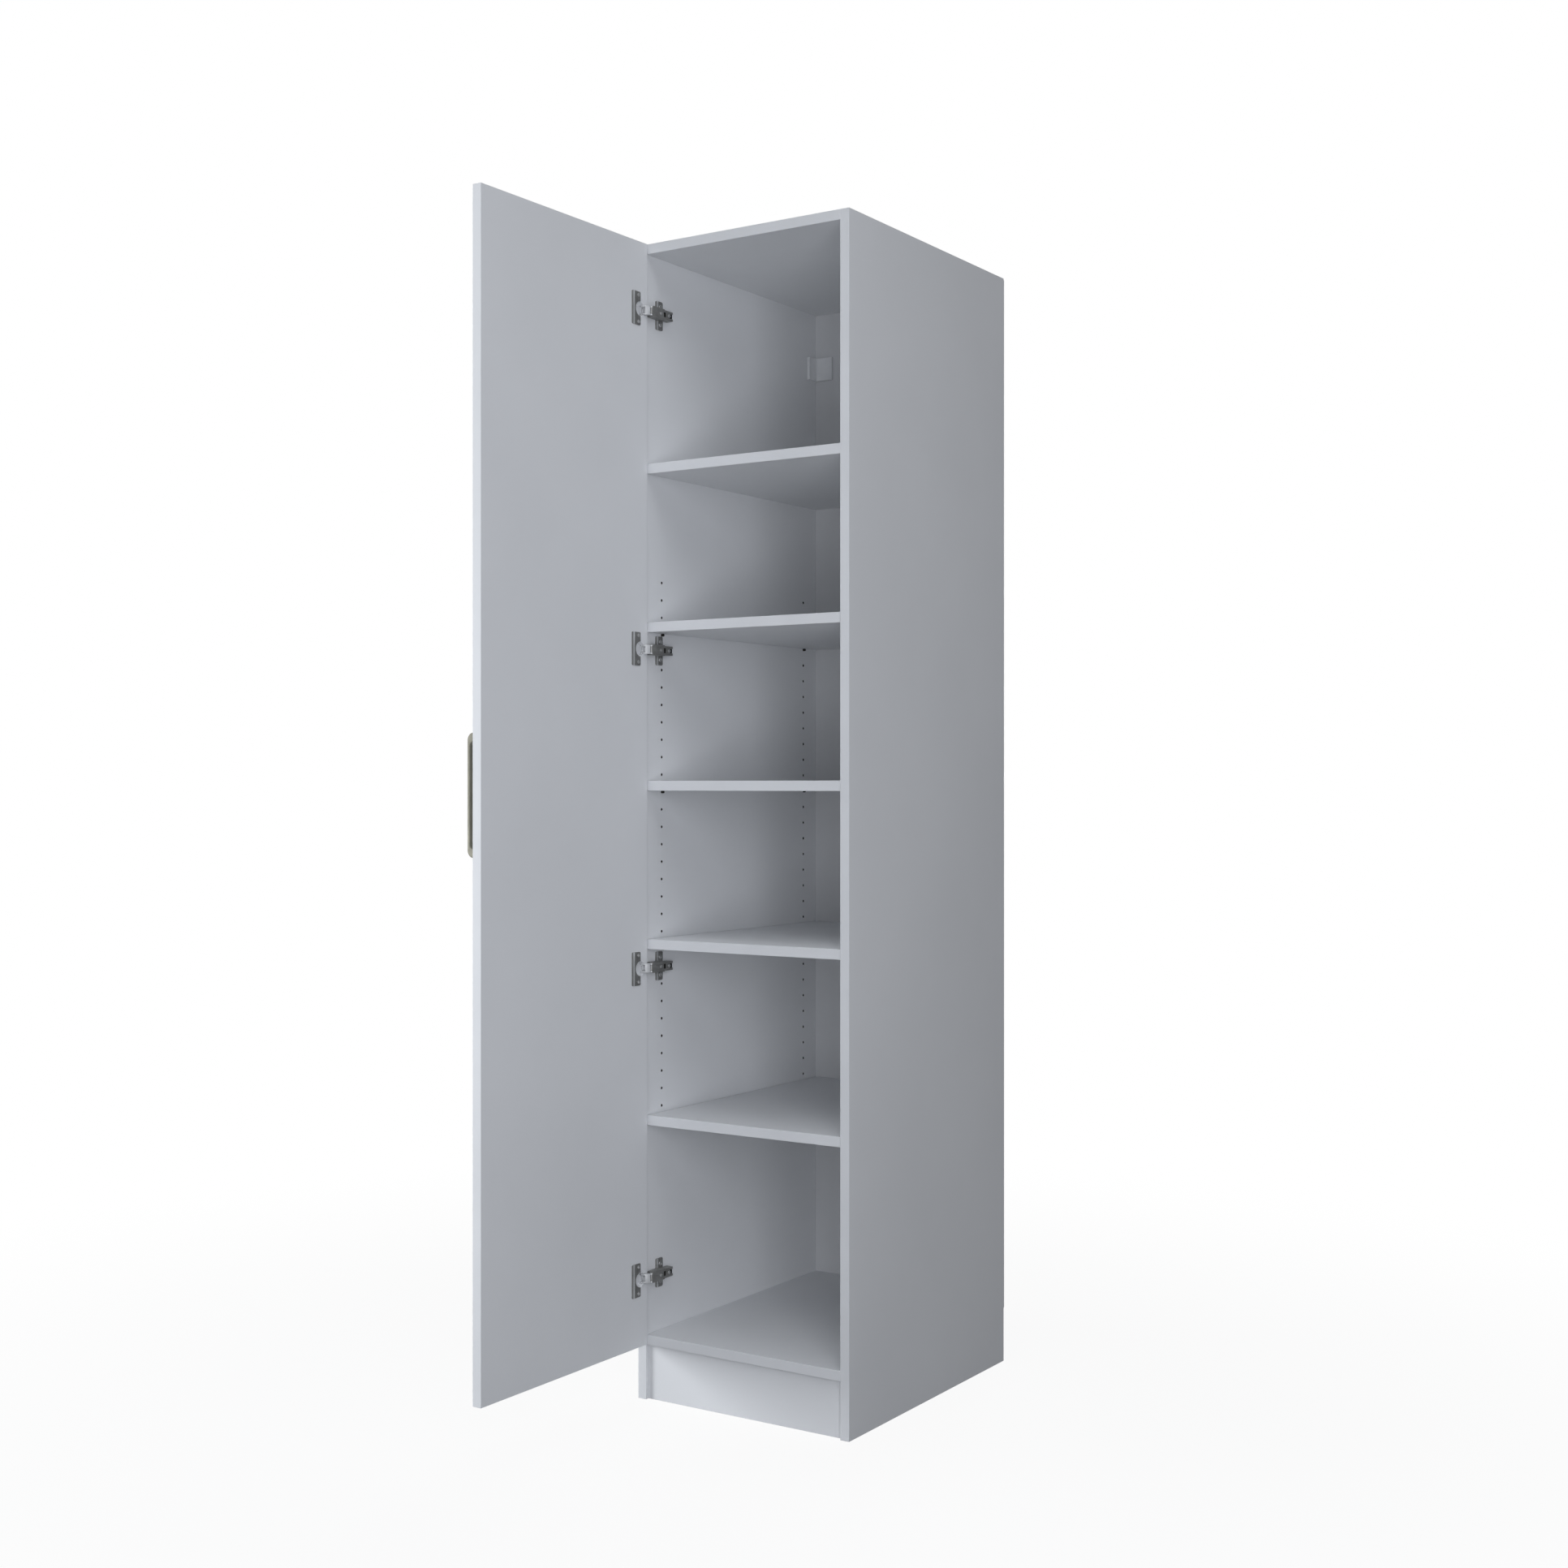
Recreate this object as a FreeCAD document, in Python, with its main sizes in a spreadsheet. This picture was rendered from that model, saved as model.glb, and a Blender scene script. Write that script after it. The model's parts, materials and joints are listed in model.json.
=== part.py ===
import FreeCAD, Part
import math
import os
import re
from types import SimpleNamespace

import Sketcher

# A tall single-door wardrobe in white melamine-faced board, door standing open at a right angle.
# Frame: +Z up, +Y to the back, +X to the right seen from the front, millimetres.
# Origin: on the floor at mid-width, under the front face of the plinth.

doc = FreeCAD.newDocument("wardrobe")
sheet = doc.addObject("Spreadsheet::Sheet", "Sizes")

DRIVING_SIZES = [
    # carcass boards
    ("width", 450),
    ("height", 2100),
    ("side_depth", 576),
    ("board", 18),
    ("plinth_height", 100),
    ("plinth_board", 16),
    ("plinth_setback", 8),
    ("back_board", 3),
    ("back_side_inset", 0.5),
    ("back_top_inset", 3),
    ("back_bottom_inset", 3),
    # shelves and the rows of pin holes
    ("fixed_shelf_drop", 399),
    ("shelf_side_gap", 1),
    ("shelf_front_set", 1),
    ("shelf_back_gap", 1),
    ("pin_diameter", 5),
    ("pin_length", 16),
    ("pin_hole_depth", 11),
    ("pin_hole_gap", 0.05),
    ("hole_pitch", 32),
    ("top_hole_height", 1488.5),
    ("hole_row_front", 47),
    ("hole_row_back", 47),
    # cam fittings and dowels in the board ends
    ("fit_gap", 0.1),
    ("cam_edge", 60),
    ("cam_reach", 34),
    ("cam_diameter", 15),
    ("cam_thick", 12.5),
    ("bolt_diameter", 6),
    ("bolt_in_side", 11),
    ("dowel_step", 32),
    ("dowel_diameter", 8),
    ("dowel_length", 30),
    ("dowel_in_side", 10),
    # back panel screws
    ("back_screw_diameter", 3),
    ("back_screw_length", 16),
    ("back_screw_head", 6),
    ("back_screw_head_thick", 1.5),
    ("back_screw_low", 160),
    ("back_screw_top", 80),
    ("back_screw_apart", 140),
    # plinth corner angles
    ("angle_leg", 26),
    ("angle_thick", 2),
    ("angle_tall", 20),
    ("angle_height", 40),
    ("angle_screw_diameter", 3.5),
    ("angle_screw_length", 13),
    ("angle_screw_head", 7),
    ("angle_screw_head_thick", 2),
    ("angle_screw_out", 15),
    # wall fixing angles and their covers
    ("wall_angle_drop", 130.5),
    ("wall_angle_tall", 43),
    ("wall_angle_side_leg", 30),
    ("wall_angle_back_leg", 40),
    ("wall_angle_thick", 2),
    ("wall_screw_hole", 5.5),
    ("wall_screw_out", 24),
    ("wall_side_screw_out", 17),
    ("cover_gap", 0.3),
    ("cover_room", 2.4),
    ("cover_wall", 1.6),
    ("cover_corner", 2),
    # door, given where it stands open
    ("door_board", 18),
    ("door_side_gap", 1),
    ("door_low_gap", 2),
    ("door_top_gap", 1),
    ("door_open_inset", 5.85),
    ("door_open_ahead", 4.14),
    ("hinge_end", 122),
    ("hinge_second_up", 684),
    ("hinge_third_down", 736),
    # hinge pins: on the arm from the side's inner front edge, in the cup from the door's edge and face
    ("outer_pin_in", 13.86),
    ("outer_pin_ahead", 3.46),
    ("inner_pin_in", 5.79),
    ("inner_pin_behind", 7.51),
    ("outer_cup_pin_edge", 12.42),
    ("outer_cup_pin_deep", 3.87),
    ("inner_cup_pin_edge", 8.2),
    ("inner_cup_pin_deep", 5.16),
    ("outer_pin_diameter", 3),
    ("inner_pin_diameter", 2.4),
    ("cup_pin_diameter", 2),
    ("running_gap", 0.05),
    ("open_pivot_gap", 1.65),
    # hinge links
    ("link_tall", 16.6),
    ("fork_thick", 2.7),
    ("outer_link_half", 1.7),
    ("outer_link_bow", 3.6),
    ("outer_eye", 4.8),
    ("outer_cup_eye", 4.4),
    ("bridge_start", 3.2),
    ("bridge_end", 11.4),
    ("bridge_thick", 0.9),
    ("inner_link_tall", 7.2),
    ("inner_link_half", 1.1),
    ("inner_eye", 7.6),
    ("inner_cup_eye", 3.8),
    ("inner_hook_start", 11.6),
    ("inner_hook_rise", 6.6),
    ("inner_hook_end", 0.6),
    ("inner_hook_top", 6.9),
    # hinge cup and its flange
    ("cup_diameter", 35),
    ("cup_depth", 12.5),
    ("cup_wall", 1),
    ("cup_edge", 4.5),
    ("cup_pocket_gap", 0.5),
    ("cup_bore_gap", 0.1),
    ("flange_tall", 60.5),
    ("flange_width", 24.5),
    ("flange_thick", 1.5),
    ("flange_bevel", 6.5),
    ("flange_lip", 0.5),
    ("mouth_diameter", 26.8),
    ("mouth_shift", 0.5),
    ("cup_screw_apart", 48),
    ("cup_screw_offset", 6),
    ("cup_screw_diameter", 3.5),
    ("cup_screw_length", 12),
    ("cup_screw_head", 6.6),
    ("cup_screw_head_thick", 1),
    # hinge arm
    ("arm_high", 17),
    ("arm_foot", 3),
    ("arm_sheet", 1.6),
    ("arm_front", 0.5),
    ("arm_step", 34),
    ("arm_end", 58.5),
    ("arm_wide", 19.2),
    ("arm_tail_wide", 16.6),
    ("lug_outer_half", 5.3),
    ("lug_thick", 1.4),
    ("lug_round", 2.5),
    ("lug_back", 8),
    ("arm_slot_from", 31.4),
    ("arm_slot_long", 7),
    ("arm_slot_tall", 9),
    ("arm_fork_tall", 8),
    # hinge mounting plate and screws
    ("plate_middle", 37),
    ("wing_tall", 52.5),
    ("wing_wide", 20),
    ("wing_thick", 2.5),
    ("wing_corner", 3),
    ("saddle_from", 15),
    ("saddle_gap", 0.3),
    ("plate_screw_apart", 32),
    ("plate_screw_shift", 2),
    ("plate_screw_diameter", 5),
    ("plate_screw_length", 13),
    ("plate_screw_head", 8.5),
    ("plate_screw_head_thick", 1.5),
    ("side_screw_at", 22),
    ("side_screw_diameter", 4),
    ("side_screw_head", 5.5),
    ("clamp_screw_at", 47),
    ("clamp_screw_diameter", 5),
    ("clamp_screw_head", 7.4),
    ("arm_screw_length", 10),
    ("arm_screw_head_thick", 1),
    # bow handle on the door's outer face
    ("handle_long", 207),
    ("handle_out", 30),
    ("handle_wide", 11),
    ("handle_grip_thick", 6),
    ("handle_leg_thick", 15),
    ("handle_outer_round", 13),
    ("handle_inner_round", 9),
    ("handle_setback", 20),
    ("handle_edge", 1.6),
    ("handle_screw_apart", 192),
    ("handle_screw_diameter", 4),
    ("handle_screw_bite", 9),
    ("handle_screw_head", 8),
    ("handle_screw_head_thick", 3),
    ("handle_cap_diameter", 12),
    ("handle_cap_thick", 2),
]
HOLES_IN_ROW = 32
SHELF_HOLES = (3, 12, 21, 31)
BACK_SCREWS_UP = 7

for row, (alias, value) in enumerate(DRIVING_SIZES, start=1):
    sheet.set(f"A{row}", alias)
    sheet.set(f"B{row}", str(value))
    sheet.setAlias(f"B{row}", alias)
doc.recompute()
size = SimpleNamespace(**{alias: float(sheet.get(alias)) for alias, _ in DRIVING_SIZES})
nodes = {}


# Formulas name the sheet's cells by their aliases.
def formula(text):
    def cell(word):
        return f"Sizes.{word.group()}" if hasattr(size, word.group()) else word.group()

    return re.sub(r"[A-Za-z_][A-Za-z_0-9]*", cell, str(text))


def number(text):
    return float(sheet.evalExpression(formula(text)))


def bind(item, **formulas):
    for name, text in formulas.items():
        item.setExpression(name.replace("__", "."), formula(text))
    return item


def place(item, x, y, z):
    return bind(item, Placement__Base__x=x, Placement__Base__y=y, Placement__Base__z=z)


def box(name, x, y, z, dx, dy, dz):
    item = doc.addObject("Part::Box", name)
    bind(item, Length=dx, Width=dy, Height=dz)
    return place(item, x, y, z)


# A round bar that runs along +x, +y or +z from the given point.
TURNS = {
    "x": FreeCAD.Rotation(FreeCAD.Vector(0, 1, 0), 90),
    "y": FreeCAD.Rotation(FreeCAD.Vector(1, 0, 0), -90),
    "z": FreeCAD.Rotation(),
}


def rod(name, along, x, y, z, diameter, length):
    item = doc.addObject("Part::Cylinder", name)
    item.Placement = FreeCAD.Placement(FreeCAD.Vector(), TURNS[along])
    bind(item, Radius=f"({diameter}) / 2", Height=length)
    return place(item, x, y, z)


def group(name, items):
    item = doc.addObject("Part::Compound", name)
    item.Links = items
    return item


def fuse(name, items):
    item = doc.addObject("Part::MultiFuse", name)
    item.Shapes = items
    return item


def cut(name, base, tools):
    item = doc.addObject("Part::Cut", name)
    item.Base = base
    item.Tool = tools[0] if len(tools) == 1 else group(f"{name}_cuts", tools)
    return item


def node(item, label):
    item.Label = label
    nodes[label] = item
    return item


# A closed outline of straight runs, with an arc of the given radius at each rounded corner.
def rounded(points):
    spots = [FreeCAD.Vector(x, y, 0) for x, y, _ in points]
    edges = []
    last = None
    first = None
    for index, (_, _, radius) in enumerate(points):
        corner = spots[index]
        before = (spots[index - 1] - corner).normalize()
        after = (spots[(index + 1) % len(spots)] - corner).normalize()
        start = end = corner
        arc = None
        if radius > 0:
            half = before.getAngle(after) / 2
            start = corner + before * (radius / math.tan(half))
            end = corner + after * (radius / math.tan(half))
            centre = corner + (before + after).normalize() * (radius / math.sin(half))
            middle = centre + (corner - centre).normalize() * radius
            arc = Part.Arc(start, middle, end)
        if last is None:
            first = start
        else:
            edges.append(Part.LineSegment(last, start))
        if arc:
            edges.append(arc)
        last = end
    edges.append(Part.LineSegment(last, first))
    return edges


# A flat outline drawn at one height and pushed up to its thickness.
def slab(name, edges, z, tall):
    sketch = doc.addObject("Sketcher::SketchObject", f"{name}_outline")
    for edge in edges:
        sketch.addConstraint(Sketcher.Constraint("Block", sketch.addGeometry(edge, False)))
    bind(sketch, Placement__Base__z=z)
    item = doc.addObject("Part::Extrusion", name)
    item.Base = sketch
    item.DirMode = "Normal"
    item.Solid = True
    return bind(item, LengthFwd=tall)


# Main planes of the carcass.
LEFT = "(-width / 2)"
RIGHT = "(width / 2)"
LEFT_IN = "(board - width / 2)"
RIGHT_IN = "(width / 2 - board)"
INNER_WIDTH = "(width - 2 * board)"
FRONT = "(-plinth_setback)"
REAR = "(side_depth - plinth_setback)"
SIDES = (("left", LEFT, LEFT_IN, 1), ("right", RIGHT_IN, RIGHT_IN, -1))

# Boards that tie the two sides together: name, underside, and whether the cams lie in the upper face.
TIE_BOARDS = (
    ("top_panel", "(height - board)", True),
    ("fixed_shelf", "(height - fixed_shelf_drop - board)", True),
    ("bottom_panel", "plinth_height", False),
)
side_cuts = {"left": [], "right": []}
rear_cuts = {"back": [], "top_panel": [], "fixed_shelf": [], "bottom_panel": [], "left": [], "right": []}


# Fixed boards with their cams, bolts and dowels
def tie_board(name, under, cams_above):
    blank = box(f"{name}_blank", LEFT_IN, FRONT, under, INNER_WIDTH, "side_depth", "board")
    middle = f"({under} + board / 2)"
    bores = []
    bolts, dowels, cams = [], [], []
    for side, _, face, into in SIDES:
        for end, y in (("front", f"({FRONT} + cam_edge)"), ("back", f"({REAR} - cam_edge)")):
            tag = f"{name}_{side}_{end}"
            cam_x = f"({face} + {into} * cam_reach)"
            cam_z = f"({under} + board - cam_thick)" if cams_above else under
            bolt_x = f"({face} - bolt_in_side)" if into > 0 else f"({face} - cam_reach)"
            bolt_long = "(bolt_in_side + cam_reach)"
            hole_x = f"({face} - bolt_in_side - fit_gap)" if into > 0 else f"({face} - cam_reach - fit_gap)"
            hole_long = "(bolt_in_side + cam_reach + 2 * fit_gap)"
            bolts.append(rod(f"{tag}_bolt", "x", bolt_x, y, middle, "bolt_diameter", bolt_long))
            room = "(bolt_diameter + 2 * fit_gap)"
            for target, kind in ((bores, "a"), (side_cuts[side], "b")):
                target.append(rod(f"{tag}_bolt_hole_{kind}", "x", hole_x, y, middle, room, hole_long))
            bore_z = f"({cam_z} - fit_gap)" if cams_above else f"({cam_z} - 1)"
            cam_bore = "(cam_diameter + 2 * fit_gap)"
            cam_room = "(cam_thick + 1 + fit_gap)"
            bores.append(rod(f"{tag}_cam_bore", "z", cam_x, y, bore_z, cam_bore, cam_room))
            blank_cam = rod(f"{tag}_cam_blank", "z", cam_x, y, cam_z, "cam_diameter", "cam_thick")
            throat = rod(f"{tag}_cam_throat", "x", hole_x, y, middle, room, hole_long)
            cams.append(cut(f"{tag}_cam", blank_cam, [throat]))
            inward = "+" if end == "front" else "-"
            dowel_y = f"({y} {inward} dowel_step)"
            dowel_out = "(dowel_length - dowel_in_side)"
            dowel_x = f"({face} - dowel_in_side)" if into > 0 else f"({face} - {dowel_out})"
            dowel_size = ("dowel_diameter", "dowel_length")
            dowels.append(rod(f"{tag}_dowel", "x", dowel_x, dowel_y, middle, *dowel_size))
            room = "(dowel_diameter + 2 * fit_gap)"
            for target, kind in ((bores, "a"), (side_cuts[side], "b")):
                hole = (f"({dowel_x} - fit_gap)", dowel_y, middle, room, "(dowel_length + 2 * fit_gap)")
                target.append(rod(f"{tag}_dowel_hole_{kind}", "x", *hole))
    return blank, bores, bolts, dowels, cams


tie_blanks = {}
all_bolts, all_dowels, all_cams = [], [], []
for name, under, cams_above in TIE_BOARDS:
    blank, bores, bolts, dowels, cams = tie_board(name, under, cams_above)
    tie_blanks[name] = (blank, bores)
    all_bolts += bolts
    all_dowels += dowels
    all_cams += cams
node(group("bolts", all_bolts), "cam_bolts")
node(group("dowel_set", all_dowels), "dowels")
node(group("cams", all_cams), "cam_housings")

# Back panel screws, into the rear edges of the sides and of the tie boards
back_screws = []


def back_screw(tag, x, z, wood):
    shank_y = f"({REAR} + back_board - back_screw_length)"
    shank = rod(f"{tag}_shank", "y", x, shank_y, z, "back_screw_diameter", "back_screw_length")
    head = (x, f"({REAR} + back_board)", z, "back_screw_head", "back_screw_head_thick")
    back_screws.append(fuse(f"{tag}_screw", [shank, rod(f"{tag}_head", "y", *head)]))
    room = "(back_screw_diameter + 2 * fit_gap)"
    for target in ("back", wood):
        hole = (x, f"({shank_y} - fit_gap)", z, room, "(back_screw_length + 2 * fit_gap)")
        rear_cuts[target].append(rod(f"{tag}_hole_{target}", "y", *hole))


for side, x in (("left", f"({LEFT} + board / 2)"), ("right", f"({RIGHT} - board / 2)")):
    for step in range(BACK_SCREWS_UP):
        up = f"(back_screw_low + {step} * (height - back_screw_low - back_screw_top) / {BACK_SCREWS_UP - 1})"
        back_screw(f"back_{side}_{step}", x, up, side)
for name, under, _ in TIE_BOARDS:
    for way, x in (("left", "(-back_screw_apart / 2)"), ("right", "(back_screw_apart / 2)")):
        back_screw(f"back_{name}_{way}", x, f"({under} + board / 2)", name)
node(group("back_screw_set", back_screws), "back_panel_screws")

for name, (blank, bores) in tie_blanks.items():
    node(cut(f"{name}_board", blank, bores + rear_cuts[name]), name)

# Loose shelves on four pins each
shelf_pins = []
for number_up, hole in enumerate(SHELF_HOLES, start=1):
    pin_z = f"(top_hole_height - {hole} * hole_pitch)"
    shelf = box(
        f"shelf_{number_up}",
        f"({LEFT_IN} + shelf_side_gap)",
        f"({FRONT} + shelf_front_set)",
        f"({pin_z} + pin_diameter / 2)",
        f"({INNER_WIDTH} - 2 * shelf_side_gap)",
        "(side_depth - shelf_front_set - shelf_back_gap)",
        "board",
    )
    node(shelf, f"adjustable_shelf_{number_up}")
    for row, y in (("front", f"({FRONT} + hole_row_front)"), ("back", f"({REAR} - hole_row_back)")):
        left_pin = f"({LEFT_IN} - pin_hole_depth)"
        right_pin = f"({RIGHT_IN} + pin_hole_depth - pin_length)"
        for side, x in (("left", left_pin), ("right", right_pin)):
            tag = f"pin_{number_up}_{row}_{side}"
            shelf_pins.append(rod(tag, "x", x, y, pin_z, "pin_diameter", "pin_length"))
node(group("pins", shelf_pins), "shelf_pins")

pin_room = "(pin_diameter + 2 * pin_hole_gap)"
for side, _, face, into in SIDES:
    x = f"({face} - pin_hole_depth)" if into > 0 else face
    for row, y in (("front", f"({FRONT} + hole_row_front)"), ("back", f"({REAR} - hole_row_back)")):
        for step in range(HOLES_IN_ROW):
            hole = (x, y, f"(top_hole_height - {step} * hole_pitch)", pin_room, "pin_hole_depth")
            side_cuts[side].append(rod(f"{side}_{row}_pin_hole_{step}", "x", *hole))

# Plinth with its corner angles
plinth_blank = box("plinth_blank", LEFT_IN, 0, 0, INNER_WIDTH, "plinth_board", "plinth_height")
angles, angle_screws, plinth_cuts = [], [], []
ANGLE_MID = "(angle_height + angle_tall / 2)"


# A panhead screw with its tip at the given point, the head at the far end along the same axis.
def head_screw(tag, along, tip, size_name, length, reach):
    x, y, z = tip
    head_at = {"x": (f"({x} + {reach})", y, z), "y": (x, f"({y} + {reach})", z)}[along.strip("-")]
    shank = rod(f"{tag}_shank", along, x, y, z, f"{size_name}_diameter", length)
    head = rod(f"{tag}_head", along, *head_at, f"{size_name}_head", f"{size_name}_head_thick")
    return fuse(f"{tag}_screw", [shank, head])


for side, _, face, into in SIDES:
    near = face if into > 0 else f"({face} - angle_leg)"
    thin = face if into > 0 else f"({face} - angle_thick)"
    legs = [
        box(f"angle_{side}_a", near, "plinth_board", "angle_height",
            "angle_leg", "angle_thick", "angle_tall"),
        box(f"angle_{side}_b", thin, "plinth_board", "angle_height",
            "angle_thick", "angle_leg", "angle_tall"),
    ]
    screw_x = f"({face} + {into} * angle_screw_out)"
    screw_y = "(plinth_board + angle_screw_out)"
    reach = "angle_screw_length"
    wood = "(angle_screw_length - angle_thick)"
    room = "(angle_screw_diameter + 2 * fit_gap)"
    tip = (screw_x, f"(plinth_board - {wood})", ANGLE_MID)
    angle_screws.append(head_screw(f"angle_{side}_front", "y", tip, "angle_screw", reach, reach))
    front_hole = (screw_x, f"(plinth_board - {wood} - fit_gap)", ANGLE_MID, room, f"({reach} + 2 * fit_gap)")
    plinth_cuts.append(rod(f"angle_{side}_plinth_hole", "y", *front_hole))
    leg_cuts = [rod(f"angle_{side}_leg_hole", "y", *front_hole)]
    shank_x = f"({face} - {wood})" if into > 0 else f"({face} - angle_thick)"
    head_x = f"({face} + angle_thick)" if into > 0 else f"({face} - angle_thick - angle_screw_head_thick)"
    shank = rod(f"angle_{side}_side_shank", "x", shank_x, screw_y, ANGLE_MID, "angle_screw_diameter", reach)
    head_size = ("angle_screw_head", "angle_screw_head_thick")
    head = rod(f"angle_{side}_side_head", "x", head_x, screw_y, ANGLE_MID, *head_size)
    angle_screws.append(fuse(f"angle_{side}_side_screw", [shank, head]))
    side_hole = (f"({shank_x} - fit_gap)", screw_y, ANGLE_MID, room, f"({reach} + 2 * fit_gap)")
    leg_cuts.append(rod(f"angle_{side}_side_leg_hole", "x", *side_hole))
    side_cuts[side].append(rod(f"angle_{side}_side_hole", "x", *side_hole))
    angles.append(cut(f"angle_{side}", fuse(f"angle_{side}_legs", legs), leg_cuts))
node(cut("plinth_piece", plinth_blank, plinth_cuts), "plinth")
node(group("angle_set", angles), "plinth_angles")
node(group("angle_screw_set", angle_screws), "plinth_angle_screws")

# Wall fixing angles in the upper rear corners, each under a clip-on cover
WALL_LOW = "(height - wall_angle_drop - wall_angle_tall / 2)"
WALL_MID = "(height - wall_angle_drop)"
wall_screws = []
for side, _, face, into in SIDES:
    near = face if into > 0 else f"({face} - wall_angle_back_leg)"
    thin = face if into > 0 else f"({face} - wall_angle_thick)"
    legs = [
        box(f"wall_{side}_a", near, f"({REAR} - wall_angle_thick)", WALL_LOW,
            "wall_angle_back_leg", "wall_angle_thick", "wall_angle_tall"),
        box(f"wall_{side}_b", thin, f"({REAR} - wall_angle_side_leg)", WALL_LOW,
            "wall_angle_thick", "wall_angle_side_leg", "wall_angle_tall"),
    ]
    wall_x = f"({face} + {into} * wall_screw_out)"
    wall_hole = (wall_x, f"({REAR} - wall_angle_thick - 1)", WALL_MID, "wall_screw_hole")
    rear_cuts["back"].append(
        rod(f"wall_{side}_back_hole", "y", *wall_hole, "(wall_angle_thick + back_board + 2)")
    )
    leg_cuts = [rod(f"wall_{side}_leg_hole", "y", *wall_hole, "(wall_angle_thick + 2)")]
    screw_y = f"({REAR} - wall_side_screw_out)"
    wood = "(angle_screw_length - wall_angle_thick)"
    shank_x = f"({face} - {wood})" if into > 0 else f"({face} - wall_angle_thick)"
    shank_size = ("angle_screw_diameter", "angle_screw_length")
    shank = rod(f"wall_{side}_shank", "x", shank_x, screw_y, WALL_MID, *shank_size)
    head_high = "(cover_room - cover_gap)"
    head_x = f"({face} + wall_angle_thick)" if into > 0 else f"({face} - wall_angle_thick - {head_high})"
    head = rod(f"wall_{side}_head", "x", head_x, screw_y, WALL_MID, "angle_screw_head", head_high)
    wall_screws.append(fuse(f"wall_{side}_screw", [shank, head]))
    room = "(angle_screw_diameter + 2 * fit_gap)"
    side_hole = (f"({shank_x} - fit_gap)", screw_y, WALL_MID, room, "(angle_screw_length + 2 * fit_gap)")
    leg_cuts.append(rod(f"wall_{side}_side_leg_hole", "x", *side_hole))
    side_cuts[side].append(rod(f"wall_{side}_side_hole", "x", *side_hole))
    node(cut(f"wall_{side}_angle", fuse(f"wall_{side}_legs", legs), leg_cuts), f"wall_angle_{side}")

    # the cover is an L in plan, open towards the two walls, with its free corners rounded
    corner_x, corner_y = number(face), number(REAR)
    deep = size.wall_angle_thick + size.cover_room + size.cover_wall
    edge = size.cover_gap + size.cover_wall
    along = size.wall_angle_back_leg + edge
    ahead = size.wall_angle_side_leg + edge
    turn = size.cover_corner

    def plan(spots):
        return rounded([(corner_x + into * x, corner_y - y, radius) for x, y, radius in spots])

    shell = plan(
        [
            (0, 0, 0),
            (along, 0, 0),
            (along, deep, turn),
            (deep, deep, turn),
            (deep, ahead, turn),
            (0, ahead, 0),
        ]
    )
    inner = deep - size.cover_wall
    hollow = plan(
        [
            (-1, -1, 0),
            (along - size.cover_wall, -1, 0),
            (along - size.cover_wall, inner, 0),
            (inner, inner, 0),
            (inner, ahead - size.cover_wall, 0),
            (-1, ahead - size.cover_wall, 0),
        ]
    )
    rim = "(cover_gap + cover_wall)"
    shell_tall = f"(wall_angle_tall + 2 * {rim})"
    shell_slab = slab(f"cover_{side}_shell", shell, f"({WALL_LOW} - {rim})", shell_tall)
    hollow_slab = slab(
        f"cover_{side}_hollow", hollow, f"({WALL_LOW} - cover_gap)", "(wall_angle_tall + 2 * cover_gap)"
    )
    node(cut(f"cover_{side}", shell_slab, [hollow_slab]), f"wall_angle_cover_{side}")
node(group("wall_screw_set", wall_screws), "wall_angle_screws")

# Back panel, laid on the rear edges
back_low = "(plinth_height + back_bottom_inset)"
back_blank = box(
    "back_blank",
    f"({LEFT} + back_side_inset)",
    REAR,
    back_low,
    "(width - 2 * back_side_inset)",
    "back_board",
    f"(height - back_top_inset - {back_low})",
)
node(cut("back_piece", back_blank, rear_cuts["back"]), "back_panel")

# Hinge places: the side's inner front edge, and the open door's inner face and hinge edge.
DOOR_IN = f"({LEFT_IN} + door_open_inset)"
DOOR_OUT = f"({DOOR_IN} - door_board)"
DOOR_EDGE = f"({FRONT} - door_open_ahead)"
DOOR_WIDTH = "(width - 2 * door_side_gap)"
DOOR_LOW = "(plinth_height + door_low_gap)"
DOOR_HEIGHT = f"(height - door_top_gap - {DOOR_LOW})"
DOOR_FREE = f"({DOOR_EDGE} - {DOOR_WIDTH})"
HINGE_MIDS = (
    f"({DOOR_LOW} + hinge_end)",
    f"({DOOR_LOW} + hinge_second_up)",
    "(height - door_top_gap - hinge_third_down)",
    "(height - door_top_gap - hinge_end)",
)
ARM_PIN = (f"({LEFT_IN} + outer_pin_in)", f"({FRONT} - outer_pin_ahead)")
ARM_INNER_PIN = (f"({LEFT_IN} + inner_pin_in)", f"({FRONT} + inner_pin_behind)")
CUP_PIN = (f"({DOOR_IN} - outer_cup_pin_deep)", f"({DOOR_EDGE} - outer_cup_pin_edge)")
CUP_INNER_PIN = (f"({DOOR_IN} - inner_cup_pin_deep)", f"({DOOR_EDGE} - inner_cup_pin_edge)")
CUP_MID = f"({DOOR_EDGE} - cup_edge - cup_diameter / 2)"
ARM_TOP = f"({LEFT_IN} + arm_high)"


def spot(pair):
    return FreeCAD.Vector(number(pair[0]), number(pair[1]), 0)


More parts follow.
